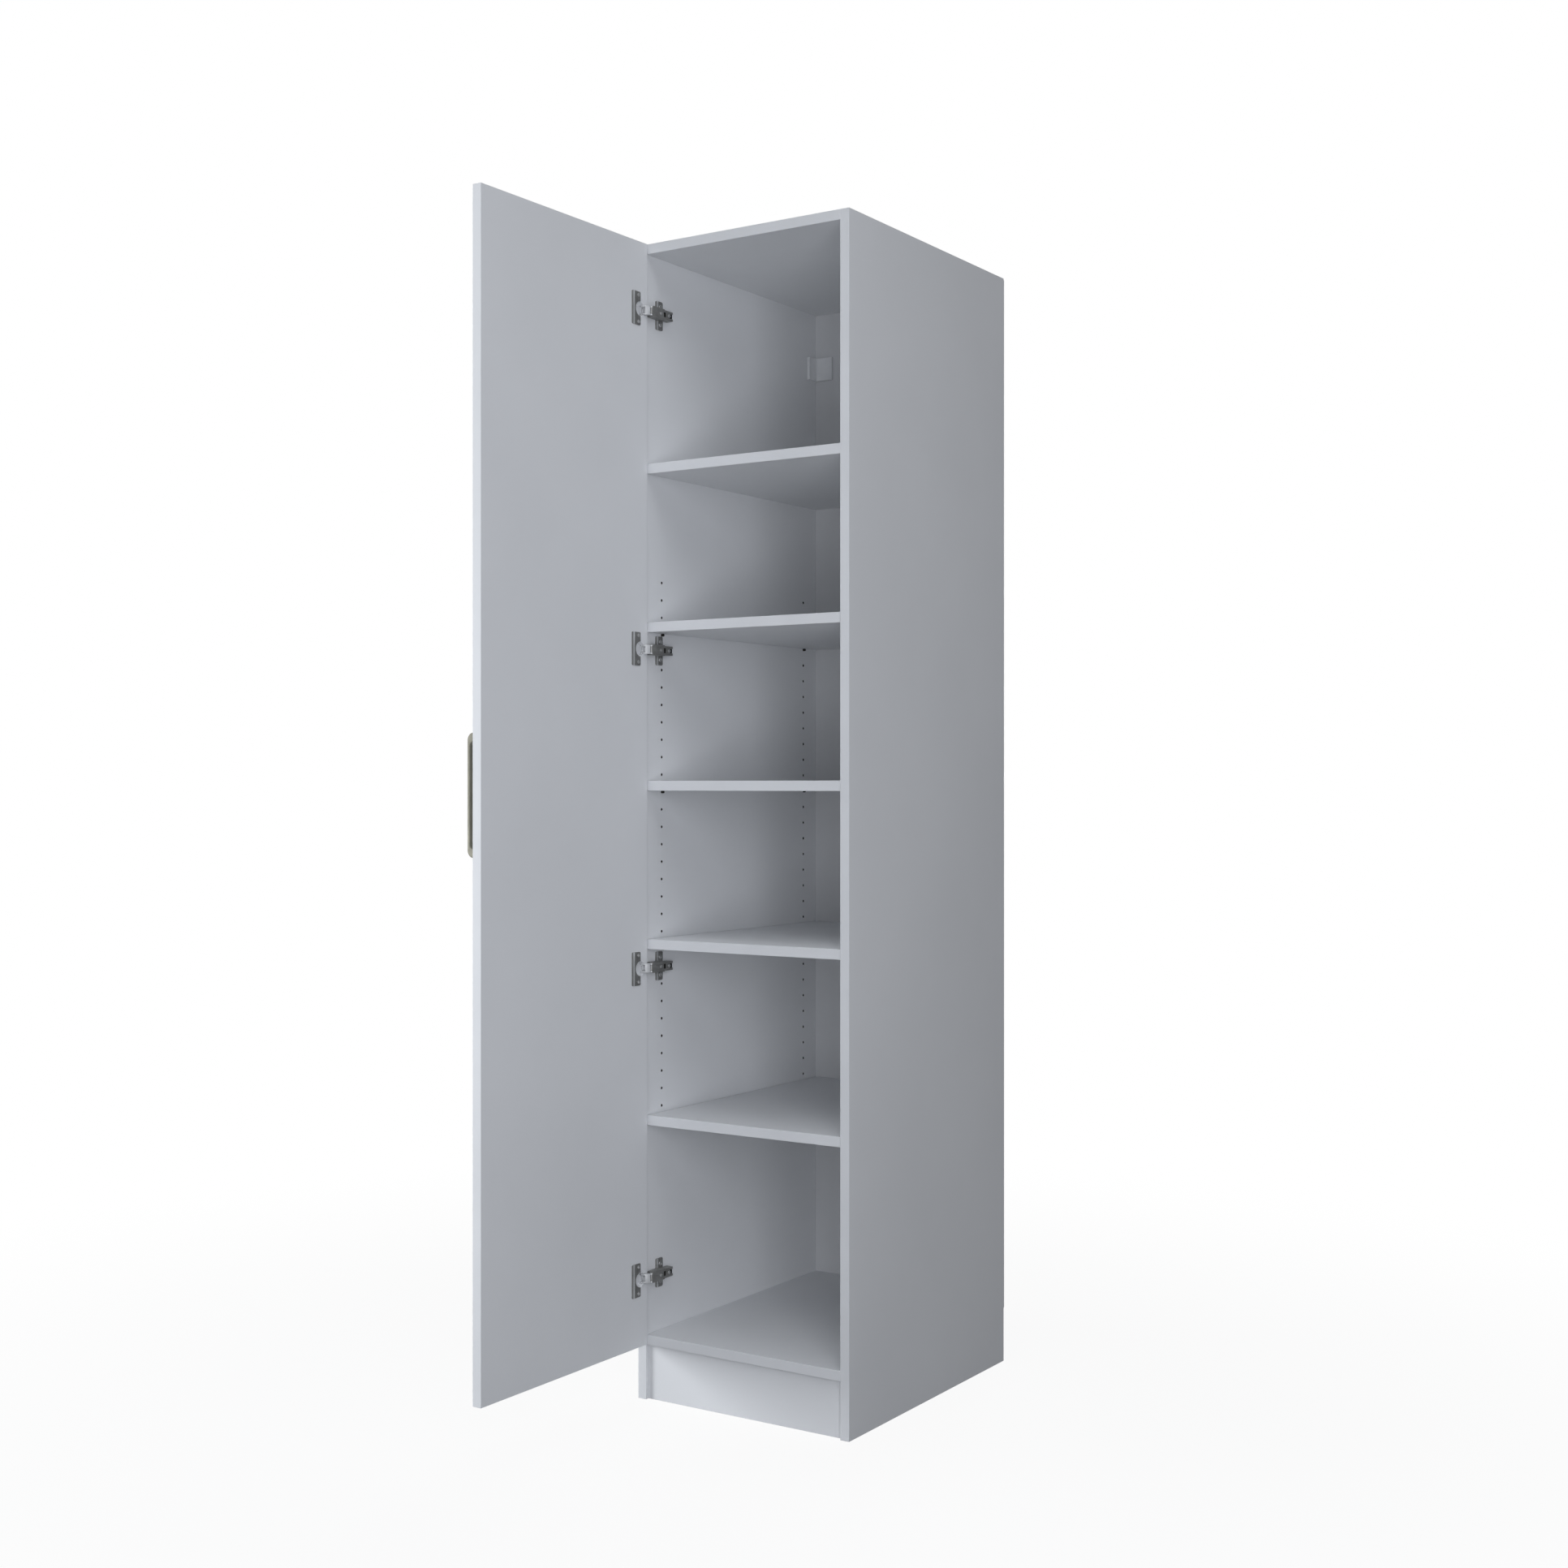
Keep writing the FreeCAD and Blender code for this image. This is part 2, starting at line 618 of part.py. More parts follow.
# A bent strip of constant width along an arc from start to end that bows out to the left of its run.
def bowed_strip(start, end, bow, inner, outer, low=0.0, high=1.0):
    run = end - start
    left = FreeCAD.Vector(-run.y, run.x, 0).normalize()
    radius = (run.Length**2 / 4 + bow**2) / (2 * bow)
    centre = start + run * 0.5 - left * (radius - bow)
    first = math.atan2((start - centre).y, (start - centre).x)
    sweep = -2 * math.asin(run.Length / (2 * radius))
    reached = FreeCAD.Vector(math.cos(first + sweep), math.sin(first + sweep), 0) * radius + centre
    if (reached - end).Length > 0.01:
        sweep = -sweep

    def at(share, offset):
        turn = first + sweep * share
        return centre + FreeCAD.Vector(math.cos(turn), math.sin(turn), 0) * (radius + offset)

    middle = (low + high) / 2
    return [
        Part.Arc(at(low, outer), at(middle, outer), at(high, outer)),
        Part.LineSegment(at(high, outer), at(high, inner)),
        Part.Arc(at(high, inner), at(middle, inner), at(low, inner)),
        Part.LineSegment(at(low, inner), at(low, outer)),
    ], run.Length


# The outer link: two bowed fork plates joined by a bridge, an eye at each end
def outer_link(tag, mid):
    start, end = spot(ARM_PIN), spot(CUP_PIN)
    low = f"({mid} - link_tall / 2)"
    half = size.outer_link_half
    strip, run = bowed_strip(start, end, size.outer_link_bow, -half, half)
    shares = (size.bridge_start / run, size.bridge_end / run)
    bridge, _ = bowed_strip(start, end, size.outer_link_bow, half - size.bridge_thick, half, *shares)
    solids = [slab(f"{tag}_bridge", bridge, low, "link_tall")]
    for way, z in (("low", low), ("high", f"({mid} + link_tall / 2 - fork_thick)")):
        plates = [
            slab(f"{tag}_strip_{way}", strip, z, "fork_thick"),
            rod(f"{tag}_eye_{way}", "z", *ARM_PIN, z, "outer_eye", "fork_thick"),
            rod(f"{tag}_cup_eye_{way}", "z", *CUP_PIN, z, "outer_cup_eye", "fork_thick"),
        ]
        solids += plates
    bores = [
        rod(f"{tag}_bore", "z", *ARM_PIN, low, "(outer_pin_diameter + 2 * running_gap)", "link_tall"),
        rod(f"{tag}_cup_bore", "z", *CUP_PIN, low, "(cup_pin_diameter + 2 * running_gap)", "link_tall"),
    ]
    return cut(f"{tag}_outer_link", fuse(f"{tag}_outer_blank", solids), bores)


# The inner link: a hooked plate between the fork plates, with a roomy eye on the arm's inner pin
def inner_link(tag, mid):
    start, end = spot(ARM_INNER_PIN), spot(CUP_INNER_PIN)
    run = end - start
    ahead = FreeCAD.Vector(run).normalize()
    left = FreeCAD.Vector(-ahead.y, ahead.x, 0)
    half = size.inner_link_half
    spine = [
        (0, 0),
        (size.inner_hook_start, size.inner_hook_rise),
        (run.Length - size.inner_hook_end, size.inner_hook_top),
        (run.Length, 0),
    ]
    low = f"({mid} - inner_link_tall / 2)"
    solids = [
        rod(f"{tag}_inner_eye", "z", *ARM_INNER_PIN, low, "inner_eye", "inner_link_tall"),
        rod(f"{tag}_inner_cup_eye", "z", *CUP_INNER_PIN, low, "inner_cup_eye", "inner_link_tall"),
    ]
    for index in range(len(spine) - 1):
        points = [start + ahead * u + left * v for u, v in spine[index:index + 2]]
        way = (points[1] - points[0]).normalize()
        aside = FreeCAD.Vector(-way.y, way.x, 0) * half
        reach = half if index < len(spine) - 2 else 0
        far = points[1] + way * reach * math.tan(math.pi / 8)
        loop = [points[0] + aside, far + aside, far - aside, points[0] - aside]
        outline = rounded([(p.x, p.y, 0) for p in loop])
        solids.append(slab(f"{tag}_inner_run_{index}", outline, low, "inner_link_tall"))
    bores = [
        rod(f"{tag}_inner_bore", "z", *ARM_INNER_PIN, low,
            "(inner_pin_diameter + 2 * open_pivot_gap)", "inner_link_tall"),
        rod(f"{tag}_inner_cup_bore", "z", *CUP_INNER_PIN, low,
            "(cup_pin_diameter + 2 * running_gap)", "inner_link_tall"),
    ]
    return cut(f"{tag}_inner_link", fuse(f"{tag}_inner_blank", solids), bores)


# The cup: a shallow pot let into the door, with a bevelled flange on the door's face
def cup(tag, mid):
    pot = rod(f"{tag}_pot", "x", f"({DOOR_IN} - cup_depth)", CUP_MID, mid, "cup_diameter", "cup_depth")
    x0, y0 = number(DOOR_IN), number(CUP_MID)
    y1 = y0 - size.flange_width
    y2 = y1 + size.flange_bevel
    section = [
        (x0, y0, 0),
        (x0 + size.flange_thick, y0, 0),
        (x0 + size.flange_thick, y2, 0),
        (x0 + size.flange_lip, y1, 0),
        (x0, y1, 0),
    ]
    flange = slab(f"{tag}_flange", rounded(section), f"({mid} - flange_tall / 2)", "flange_tall")
    hollow_x = f"({DOOR_IN} - cup_depth + cup_wall)"
    hollow_long = "(cup_depth + flange_thick)"
    wide = rod(f"{tag}_wide", "x", hollow_x, CUP_MID, mid, "(cup_diameter - 2 * cup_wall)", hollow_long)
    pocket_tall = "(link_tall + 2 * cup_pocket_gap)"
    half = box(
        f"{tag}_half", hollow_x, CUP_MID, f"({mid} - {pocket_tall} / 2)",
        hollow_long, "cup_diameter", pocket_tall
    )
    hinge_half = doc.addObject("Part::Common", f"{tag}_hinge_half")
    hinge_half.Base = wide
    hinge_half.Tool = half
    mouth_y = f"({CUP_MID} - mouth_shift)"
    mouth = rod(f"{tag}_mouth", "x", hollow_x, mouth_y, mid, "mouth_diameter", hollow_long)
    hollow = fuse(f"{tag}_hollow", [hinge_half, mouth])
    pin_room = "(cup_pin_diameter + 2 * fit_gap)"
    pin_low = f"({mid} - cup_diameter / 2)"
    bores = [
        rod(f"{tag}_pin_bore", "z", *CUP_PIN, pin_low, pin_room, "cup_diameter"),
        rod(f"{tag}_inner_pin_bore", "z", *CUP_INNER_PIN, pin_low, pin_room, "cup_diameter"),
    ]
    screw_y = f"({CUP_MID} - cup_screw_offset)"
    for way in (-1, 1):
        z = f"({mid} + {way} * cup_screw_apart / 2)"
        room = "(cup_screw_diameter + 2 * fit_gap)"
        through = "(flange_thick + 2)"
        bores.append(rod(f"{tag}_screw_bore_{way + 1}", "x", f"({DOOR_IN} - 1)", screw_y, z, room, through))
    blank = fuse(f"{tag}_cup_blank", [pot, flange])
    opened = cut(f"{tag}_cup_open", blank, [hollow])
    return cut(f"{tag}_cup_bored", opened, [fuse(f"{tag}_cup_bores", bores)])


# Half of the cup's width on the line of a pin, so that the pin's ends stay inside the round cup.
def half_chord(edge):
    off = f"(cup_edge + cup_diameter / 2 - {edge} + cup_pin_diameter / 2)"
    return f"sqrt(pow(cup_diameter / 2; 2) - pow({off}; 2))"


# One pin right across the cup for the inner link, and two stub pins for the outer link's fork
def cup_pin_set(tag, mid):
    half = half_chord("inner_cup_pin_edge")
    through = (*CUP_INNER_PIN, f"({mid} - {half})", "cup_pin_diameter", f"(2 * {half})")
    pins = [rod(f"{tag}_inner_cup_pin", "z", *through)]
    half = half_chord("outer_cup_pin_edge")
    inner_end = "(link_tall / 2 - fork_thick)"
    stub = f"({half} - {inner_end})"
    for way, z in (("low", f"({mid} - {half})"), ("high", f"({mid} + {inner_end})")):
        pins.append(rod(f"{tag}_outer_cup_pin_{way}", "z", *CUP_PIN, z, "cup_pin_diameter", stub))
    return pins


# The arm: a folded channel clipped over the plate's saddle, with two narrow lugs that hold the outer pin
def arm(tag, mid):
    foot_x = f"({LEFT_IN} + arm_foot)"
    high = "(arm_high - arm_foot)"
    arm_y = f"({FRONT} - arm_front)"
    step_y = f"({FRONT} + arm_step)"
    front = box(
        f"{tag}_front", foot_x, arm_y, f"({mid} - arm_wide / 2)", high, "(arm_step + arm_front)", "arm_wide"
    )
    tail = box(
        f"{tag}_tail", foot_x, step_y, f"({mid} - arm_tail_wide / 2)",
        high, "(arm_end - arm_step)", "arm_tail_wide"
    )
    pin, back = spot(ARM_PIN), number(f"{FRONT} + lug_back")
    top, round_off = number(ARM_TOP), size.lug_round
    nose = [
        (top, back, 0),
        (top, pin.y - round_off, round_off),
        (pin.x - round_off, pin.y - round_off, round_off),
        (pin.x - round_off, number(arm_y), 0),
        (pin.x - 2 * round_off, back, 0),
    ]
    lugs = slab(f"{tag}_lugs", rounded(nose), f"({mid} - lug_outer_half)", "(2 * lug_outer_half)")
    inside = "(arm_tail_wide - 2 * arm_sheet)"
    channel = box(
        f"{tag}_channel", f"({foot_x} - 1)", f"({FRONT} + lug_back)", f"({mid} - {inside} / 2)",
        f"({high} - arm_sheet + 1)", "(arm_end - lug_back + 1)", inside,
    )
    throat = box(
        f"{tag}_throat", f"({foot_x} - 1)", f"({FRONT} - outer_pin_ahead - lug_round - 1)",
        f"({mid} - lug_outer_half + lug_thick)", f"({high} - arm_sheet + 1)",
        "(outer_pin_ahead + lug_round + lug_back + 2)", "(2 * (lug_outer_half - lug_thick))",
    )
    front_room = box(
        f"{tag}_front_room", f"({foot_x} - 1)", f"({arm_y} - 1)", f"({mid} - {inside} / 2)",
        f"({high} - arm_sheet + 1)", "(arm_front + lug_back + 2)", inside,
    )
    skin_x = f"({ARM_TOP} - arm_sheet - 1)"
    skin = "(arm_sheet + 2)"
    slot = box(
        f"{tag}_slot", skin_x, f"({FRONT} + arm_slot_from)", f"({mid} - arm_slot_tall / 2)",
        skin, "arm_slot_long", "arm_slot_tall",
    )
    fork = box(
        f"{tag}_fork", skin_x, f"({FRONT} + clamp_screw_at)", f"({mid} - arm_fork_tall / 2)",
        skin, "(arm_end - clamp_screw_at + 1)", "arm_fork_tall",
    )
    clamp_y = f"({FRONT} + clamp_screw_at)"
    fork_round = rod(f"{tag}_fork_round", "x", skin_x, clamp_y, mid, "arm_fork_tall", skin)
    side_hole = "(side_screw_diameter + 2 * fit_gap)"
    bores = [
        rod(f"{tag}_pin_bore", "z", *ARM_PIN, f"({mid} - link_tall)", "(outer_pin_diameter + 2 * fit_gap)",
            "(2 * link_tall)"),
        rod(f"{tag}_inner_pin_bore", "z", *ARM_INNER_PIN, f"({mid} - arm_wide)",
            "(inner_pin_diameter + 2 * fit_gap)", "(2 * arm_wide)"),
        rod(f"{tag}_side_screw_bore", "x", skin_x, f"({FRONT} + side_screw_at)", mid, side_hole, skin),
    ]
    rooms = fuse(f"{tag}_rooms", [channel, front_room])
    channelled = cut(f"{tag}_channelled", fuse(f"{tag}_folded", [front, tail]), [rooms])
    hollow_lugs = cut(f"{tag}_open_lugs", lugs, [throat])
    whole = fuse(f"{tag}_whole", [channelled, hollow_lugs])
    return cut(f"{tag}_arm", whole, [fuse(f"{tag}_arm_cuts", [slot, fork, fork_round] + bores)])


# The mounting plate: two wings screwed to the side, and the saddle that carries the arm
def plate(tag, mid):
    x0 = number(LEFT_IN)
    y0 = number(f"{FRONT} + plate_middle")
    wing = doc.addObject("Part::Box", f"{tag}_wing")
    bind(wing, Length="wing_thick", Width="wing_wide", Height="wing_tall")
    place(wing, LEFT_IN, f"({FRONT} + plate_middle - wing_wide / 2)", f"({mid} - wing_tall / 2)")
    soft = doc.addObject("Part::Fillet", f"{tag}_wing_soft")
    soft.Base = wing
    doc.recompute()
    corners = []
    for index, edge in enumerate(wing.Shape.Edges, start=1):
        ends = edge.BoundBox
        if ends.XLength > size.wing_thick / 2:
            corners.append((index, size.wing_corner, size.wing_corner))
    soft.Edges = corners
    inside = "(arm_tail_wide - 2 * arm_sheet - 2 * saddle_gap)"
    saddle = box(
        f"{tag}_saddle", LEFT_IN, f"({FRONT} + saddle_from)", f"({mid} - {inside} / 2)",
        "(arm_high - arm_sheet)", "(arm_end - saddle_gap - saddle_from)", inside,
    )
    well = box(
        f"{tag}_well",
        f"({LEFT_IN} + arm_foot)",
        f"({FRONT} + arm_slot_from)",
        f"({mid} - arm_slot_tall / 2)",
        "arm_high", "arm_slot_long", "arm_slot_tall",
    )
    cuts = [well]
    for way in (-1, 1):
        z = f"({mid} + {way} * plate_screw_apart / 2)"
        y = f"({FRONT} + plate_middle + plate_screw_shift)"
        room = "(plate_screw_diameter + 2 * fit_gap)"
        through = "(wing_thick + 2)"
        cuts.append(rod(f"{tag}_plate_bore_{way + 1}", "x", f"({LEFT_IN} - 1)", y, z, room, through))
    for name in ("side_screw", "clamp_screw"):
        y = f"({FRONT} + {name}_at)"
        bore_x = f"({ARM_TOP} - arm_screw_length - fit_gap)"
        room = f"({name}_diameter + 2 * fit_gap)"
        cuts.append(rod(f"{tag}_{name}_bore", "x", bore_x, y, mid, room, "(arm_screw_length + 1)"))
    return cut(f"{tag}_plate", fuse(f"{tag}_plate_blank", [soft, saddle]), cuts)


door_cuts, cup_pins, cup_screws = [], [], []
arm_pins, plate_screws, arm_screws = [], [], []
for row, mid in enumerate(HINGE_MIDS, start=1):
    tag = f"hinge_{row}"
    node(plate(tag, mid), f"{tag}_plate")
    node(arm(tag, mid), f"{tag}_arm")
    node(outer_link(tag, mid), f"{tag}_outer_link")
    node(inner_link(tag, mid), f"{tag}_inner_link")
    node(cup(tag, mid), f"{tag}_cup")
    cup_pins += cup_pin_set(tag, mid)
    arm_pins.append(
        rod(f"{tag}_outer_pin", "z", *ARM_PIN, f"({mid} - link_tall / 2)", "outer_pin_diameter", "link_tall")
    )
    arm_pins.append(
        rod(
            f"{tag}_inner_pin", "z", *ARM_INNER_PIN, f"({mid} - arm_wide / 2)",
            "inner_pin_diameter", "arm_wide"
        )
    )
    cup_bore = "(cup_diameter + 2 * cup_bore_gap)"
    door_cuts.append(
        rod(
            f"{tag}_cup_seat", "x", f"({DOOR_IN} - cup_depth - cup_bore_gap)", CUP_MID, mid,
            cup_bore, "(cup_depth + 1)"
        )
    )
    for way in (-1, 1):
        # cup screws bite into the door, plate screws into the side
        z = f"({mid} + {way} * cup_screw_apart / 2)"
        y = f"({CUP_MID} - cup_screw_offset)"
        tip = f"({DOOR_IN} + flange_thick - cup_screw_length)"
        cup_screws.append(head_screw(f"{tag}_cup_{way + 1}", "x", (tip, y, z), "cup_screw",
                                     "cup_screw_length", "cup_screw_length"))
        room = "(cup_screw_diameter + 2 * fit_gap)"
        pilot_x = f"({tip} - fit_gap)"
        door_cuts.append(rod(f"{tag}_door_pilot_{way + 1}", "x", pilot_x, y, z, room, "cup_screw_length"))
        z = f"({mid} + {way} * plate_screw_apart / 2)"
        y = f"({FRONT} + plate_middle + plate_screw_shift)"
        tip = f"({LEFT_IN} + wing_thick - plate_screw_length)"
        plate_screws.append(head_screw(f"{tag}_plate_{way + 1}", "x", (tip, y, z), "plate_screw",
                                       "plate_screw_length", "plate_screw_length"))
        room = "(plate_screw_diameter + 2 * fit_gap)"
        side_cuts["left"].append(
            rod(f"{tag}_side_pilot_{way + 1}", "x", f"({tip} - fit_gap)", y, z, room, "plate_screw_length")
        )
    for name in ("side_screw", "clamp_screw"):
        tip = (f"({ARM_TOP} - arm_screw_length)", f"({FRONT} + {name}_at)", mid)
        shank = rod(f"{tag}_{name}_shank", "x", *tip, f"{name}_diameter", "arm_screw_length")
        head = rod(f"{tag}_{name}_head", "x", ARM_TOP, tip[1], mid, f"{name}_head", "arm_screw_head_thick")
        arm_screws.append(fuse(f"{tag}_{name}", [shank, head]))
node(group("cup_pin_set", cup_pins), "hinge_cup_pins")
node(group("cup_screw_set", cup_screws), "hinge_cup_screws")
node(group("arm_pin_set", arm_pins), "hinge_arm_pins")
node(group("plate_screw_set", plate_screws), "hinge_plate_screws")
node(group("arm_screw_set", arm_screws), "hinge_arm_screws")

# Full-height sides, drilled for everything they hold
for side, x, _, _ in SIDES:
    blank = box(f"{side}_blank", x, FRONT, 0, "board", "side_depth", "height")
    node(cut(f"{side}_board", blank, side_cuts[side] + rear_cuts[side]), f"{side}_side")

# Door, handle and the screws that hold the handle from inside, under flush caps
HANDLE_MID = f"({DOOR_LOW} + {DOOR_HEIGHT} / 2)"
HANDLE_Y = f"({DOOR_FREE} + handle_setback)"
SCREW_Y = f"({HANDLE_Y} + handle_wide / 2)"
door_blank = box("door_blank", DOOR_OUT, DOOR_FREE, DOOR_LOW, "door_board", DOOR_WIDTH, DOOR_HEIGHT)
handle_screws, handle_caps, handle_bores = [], [], []
for way in (-1, 1):
    tag = f"handle_{way + 1}"
    z = f"({HANDLE_MID} + {way} * handle_screw_apart / 2)"
    tip = f"({DOOR_OUT} - handle_screw_bite)"
    head_x = f"({DOOR_IN} - handle_cap_thick - handle_screw_head_thick)"
    shank = rod(f"{tag}_shank", "x", tip, SCREW_Y, z, "handle_screw_diameter", f"({head_x} - {tip})")
    head = rod(f"{tag}_head", "x", head_x, SCREW_Y, z, "handle_screw_head", "handle_screw_head_thick")
    handle_screws.append(fuse(f"{tag}_screw", [shank, head]))
    cap_x = f"({DOOR_IN} - handle_cap_thick)"
    handle_caps.append(rod(f"{tag}_cap", "x", cap_x, SCREW_Y, z, "handle_cap_diameter", "handle_cap_thick"))
    room = "(handle_screw_diameter + 2 * fit_gap)"
    bore_x = f"({tip} - fit_gap)"
    handle_bores.append(rod(f"{tag}_thread", "x", bore_x, SCREW_Y, z, room, "(handle_screw_bite + 1)"))
    cap_room = "(handle_cap_diameter + 2 * fit_gap)"
    seat_depth = "(handle_cap_thick + handle_screw_head_thick + 1)"
    seat = rod(f"{tag}_seat", "x", head_x, SCREW_Y, z, cap_room, seat_depth)
    through = rod(f"{tag}_through", "x", f"({DOOR_OUT} - 1)", SCREW_Y, z, room, "(door_board + 1)")
    door_cuts.append(fuse(f"{tag}_way", [seat, through]))
node(cut("door_piece", door_blank, door_cuts), "door_panel")
node(group("handle_screw_set", handle_screws), "handle_screws")
node(group("handle_cap_set", handle_caps), "handle_screw_caps")

# The handle is padded from its side outline, then its long edges are eased
handle_body = doc.addObject("PartDesign::Body", "handle_body")
outline = handle_body.newObject("Sketcher::SketchObject", "handle_outline")
side_plane = next(item for item in handle_body.Origin.OriginFeatures if item.Role == "XZ_Plane")
outline.AttachmentSupport = (side_plane, "")
outline.MapMode = "FlatFace"
out_x, mid_z = number(DOOR_OUT), number(HANDLE_MID)
half_long = size.handle_long / 2
half_open = half_long - size.handle_leg_thick
grip_in = size.handle_out - size.handle_grip_thick
corners = [
    (0, half_long, 0),
    (size.handle_out, half_long, size.handle_outer_round),
    (size.handle_out, -half_long, size.handle_outer_round),
    (0, -half_long, 0),
    (0, -half_open, 0),
    (grip_in, -half_open, size.handle_inner_round),
    (grip_in, half_open, size.handle_inner_round),
    (0, half_open, 0),
]
for edge in rounded([(out_x - out, mid_z + up, radius) for out, up, radius in corners]):
    outline.addConstraint(Sketcher.Constraint("Block", outline.addGeometry(edge, False)))
bind(outline, AttachmentOffset__Base__z=f"-({HANDLE_Y} + handle_wide)")
pad = handle_body.newObject("PartDesign::Pad", "handle_pad")
pad.Profile = outline
bind(pad, Length="handle_wide")
doc.recompute()
soft_edges = []
for index, edge in enumerate(pad.Shape.Edges, start=1):
    limits = edge.BoundBox
    if limits.YLength < 0.01 and limits.XMin < out_x - 0.01:
        soft_edges.append(f"Edge{index}")
ease = handle_body.newObject("PartDesign::Fillet", "handle_ease")
ease.Base = (pad, soft_edges)
bind(ease, Radius="handle_edge")
handle_body.Tip = ease
node(cut("handle_piece", handle_body, handle_bores), "handle")

doc.recompute()
faults = [item.Name for item in doc.Objects if {"Invalid", "Error"} & set(item.State)]
for label, item in nodes.items():
    if item.Shape.isNull() or not item.Shape.isValid() or not item.Shape.Solids:
        faults.append(label)
if faults:
    raise RuntimeError(f"failed objects: {faults}")

os.makedirs("parts", exist_ok=True)
for label, item in nodes.items():
    item.Shape.exportStep(f"parts/{label}.step")
    print(f"{label}: {len(item.Shape.Solids)} solids, {item.Shape.Volume / 1000:.2f} cm3")
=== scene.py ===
import json
import math

import bpy
from mathutils import Matrix, Vector


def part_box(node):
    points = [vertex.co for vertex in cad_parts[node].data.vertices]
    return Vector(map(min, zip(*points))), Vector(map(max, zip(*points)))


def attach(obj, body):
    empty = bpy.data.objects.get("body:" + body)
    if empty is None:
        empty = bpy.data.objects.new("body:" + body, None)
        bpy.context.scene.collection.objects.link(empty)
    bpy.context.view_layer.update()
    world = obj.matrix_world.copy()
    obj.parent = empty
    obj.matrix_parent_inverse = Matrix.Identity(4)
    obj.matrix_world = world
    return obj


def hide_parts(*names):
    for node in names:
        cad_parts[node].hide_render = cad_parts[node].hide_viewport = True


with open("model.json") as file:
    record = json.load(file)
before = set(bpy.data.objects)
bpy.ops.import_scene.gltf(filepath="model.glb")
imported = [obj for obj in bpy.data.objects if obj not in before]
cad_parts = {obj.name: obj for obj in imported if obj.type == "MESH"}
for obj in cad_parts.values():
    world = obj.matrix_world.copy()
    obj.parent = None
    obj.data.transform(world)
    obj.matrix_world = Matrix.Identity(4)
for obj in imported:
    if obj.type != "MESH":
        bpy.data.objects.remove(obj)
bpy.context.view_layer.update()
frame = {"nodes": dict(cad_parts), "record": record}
scene = bpy.context.scene
bodies = frame["record"]["behaviour"]["bodies"]
bodyOf = {node: body for body, nodes in bodies.items() for node in nodes}
slotOf = {part["node"]: part["material_slot"] for part in frame["record"]["subparts"]}
print("frame loaded", len(frame["nodes"]), "nodes")


# camera

cameraSetup = {
    "place": (2.00192, -2.92108, 1.11914),  # metres, from the edges of the boards in the photograph
    "turn": 0.580161,  # radians to the left of straight ahead
    "lens": 46.05,
    "sensor": 36.0,
}
cameraData = bpy.data.cameras.new("photoCamera")
cameraData.lens = cameraSetup["lens"]
cameraData.sensor_width = cameraSetup["sensor"]
photoCamera = bpy.data.objects.new("photoCamera", cameraData)
photoCamera.location = cameraSetup["place"]
photoCamera.rotation_euler = (math.pi / 2, 0, cameraSetup["turn"])
scene.collection.objects.link(photoCamera)
scene.camera = photoCamera
print("camera set")


# materials

noiseSetup = {
    "colourSpan": (0.35, 0.65),  # the part of the noise over which the colour drifts
    "roughSpan": (0.3, 0.7),
    "wideDetail": 3.0,
    "fineDetail": 2.0,
}


def newMaterial(name):
    material = bpy.data.materials.new(name)
    material.use_nodes = True
    tree = material.node_tree
    return material, tree.nodes, tree.links, tree.nodes["Principled BSDF"]


def objectNoise(nodes, links, scale, detail, stretch=(1, 1, 1)):
    place = nodes.new("ShaderNodeTexCoord")
    spread = nodes.new("ShaderNodeMapping")
    spread.inputs["Scale"].default_value = stretch
    noise = nodes.new("ShaderNodeTexNoise")
    noise.inputs["Scale"].default_value = scale
    noise.inputs["Detail"].default_value = detail
    links.new(place.outputs["Object"], spread.inputs["Vector"])
    links.new(spread.outputs["Vector"], noise.inputs["Vector"])
    return noise


def colourBetween(nodes, links, noise, dark, light, target):
    ramp = nodes.new("ShaderNodeValToRGB")
    ends = zip(ramp.color_ramp.elements, noiseSetup["colourSpan"], (dark, light))
    for end, position, colour in ends:
        end.position = position
        end.color = (*colour, 1)
    links.new(noise.outputs["Fac"], ramp.inputs["Fac"])
    links.new(ramp.outputs["Color"], target)


def valueBetween(nodes, links, noise, low, high, target):
    spread = nodes.new("ShaderNodeMapRange")
    spread.inputs["From Min"].default_value = noiseSetup["roughSpan"][0]
    spread.inputs["From Max"].default_value = noiseSetup["roughSpan"][1]
    spread.inputs["To Min"].default_value = low
    spread.inputs["To Max"].default_value = high
    links.new(noise.outputs["Fac"], spread.inputs["Value"])
    links.new(spread.outputs["Result"], target)


def bumpFrom(nodes, links, noise, strength, depth, shader):
    bump = nodes.new("ShaderNodeBump")
    bump.inputs["Strength"].default_value = strength
    bump.inputs["Distance"].default_value = depth
    links.new(noise.outputs["Fac"], bump.inputs["Height"])
    links.new(bump.outputs["Normal"], shader.inputs["Normal"])


# a colour that drifts a little, a roughness that drifts with it, and a fine relief
def finish(name, dark, light, rough, relief, drift, metallic=0.0, stretch=(1, 1, 1), specular=0.5):
    material, nodes, links, shader = newMaterial(name)
    shader.inputs["Metallic"].default_value = metallic
    shader.inputs["Specular IOR Level"].default_value = specular
    wide = objectNoise(nodes, links, drift, noiseSetup["wideDetail"])
    colourBetween(nodes, links, wide, dark, light, shader.inputs["Base Color"])
    fine = objectNoise(nodes, links, relief["scale"], noiseSetup["fineDetail"], stretch)
    valueBetween(nodes, links, fine, rough[0], rough[1], shader.inputs["Roughness"])
    bumpFrom(nodes, links, fine, relief["strength"], relief["depth"], shader)
    return material


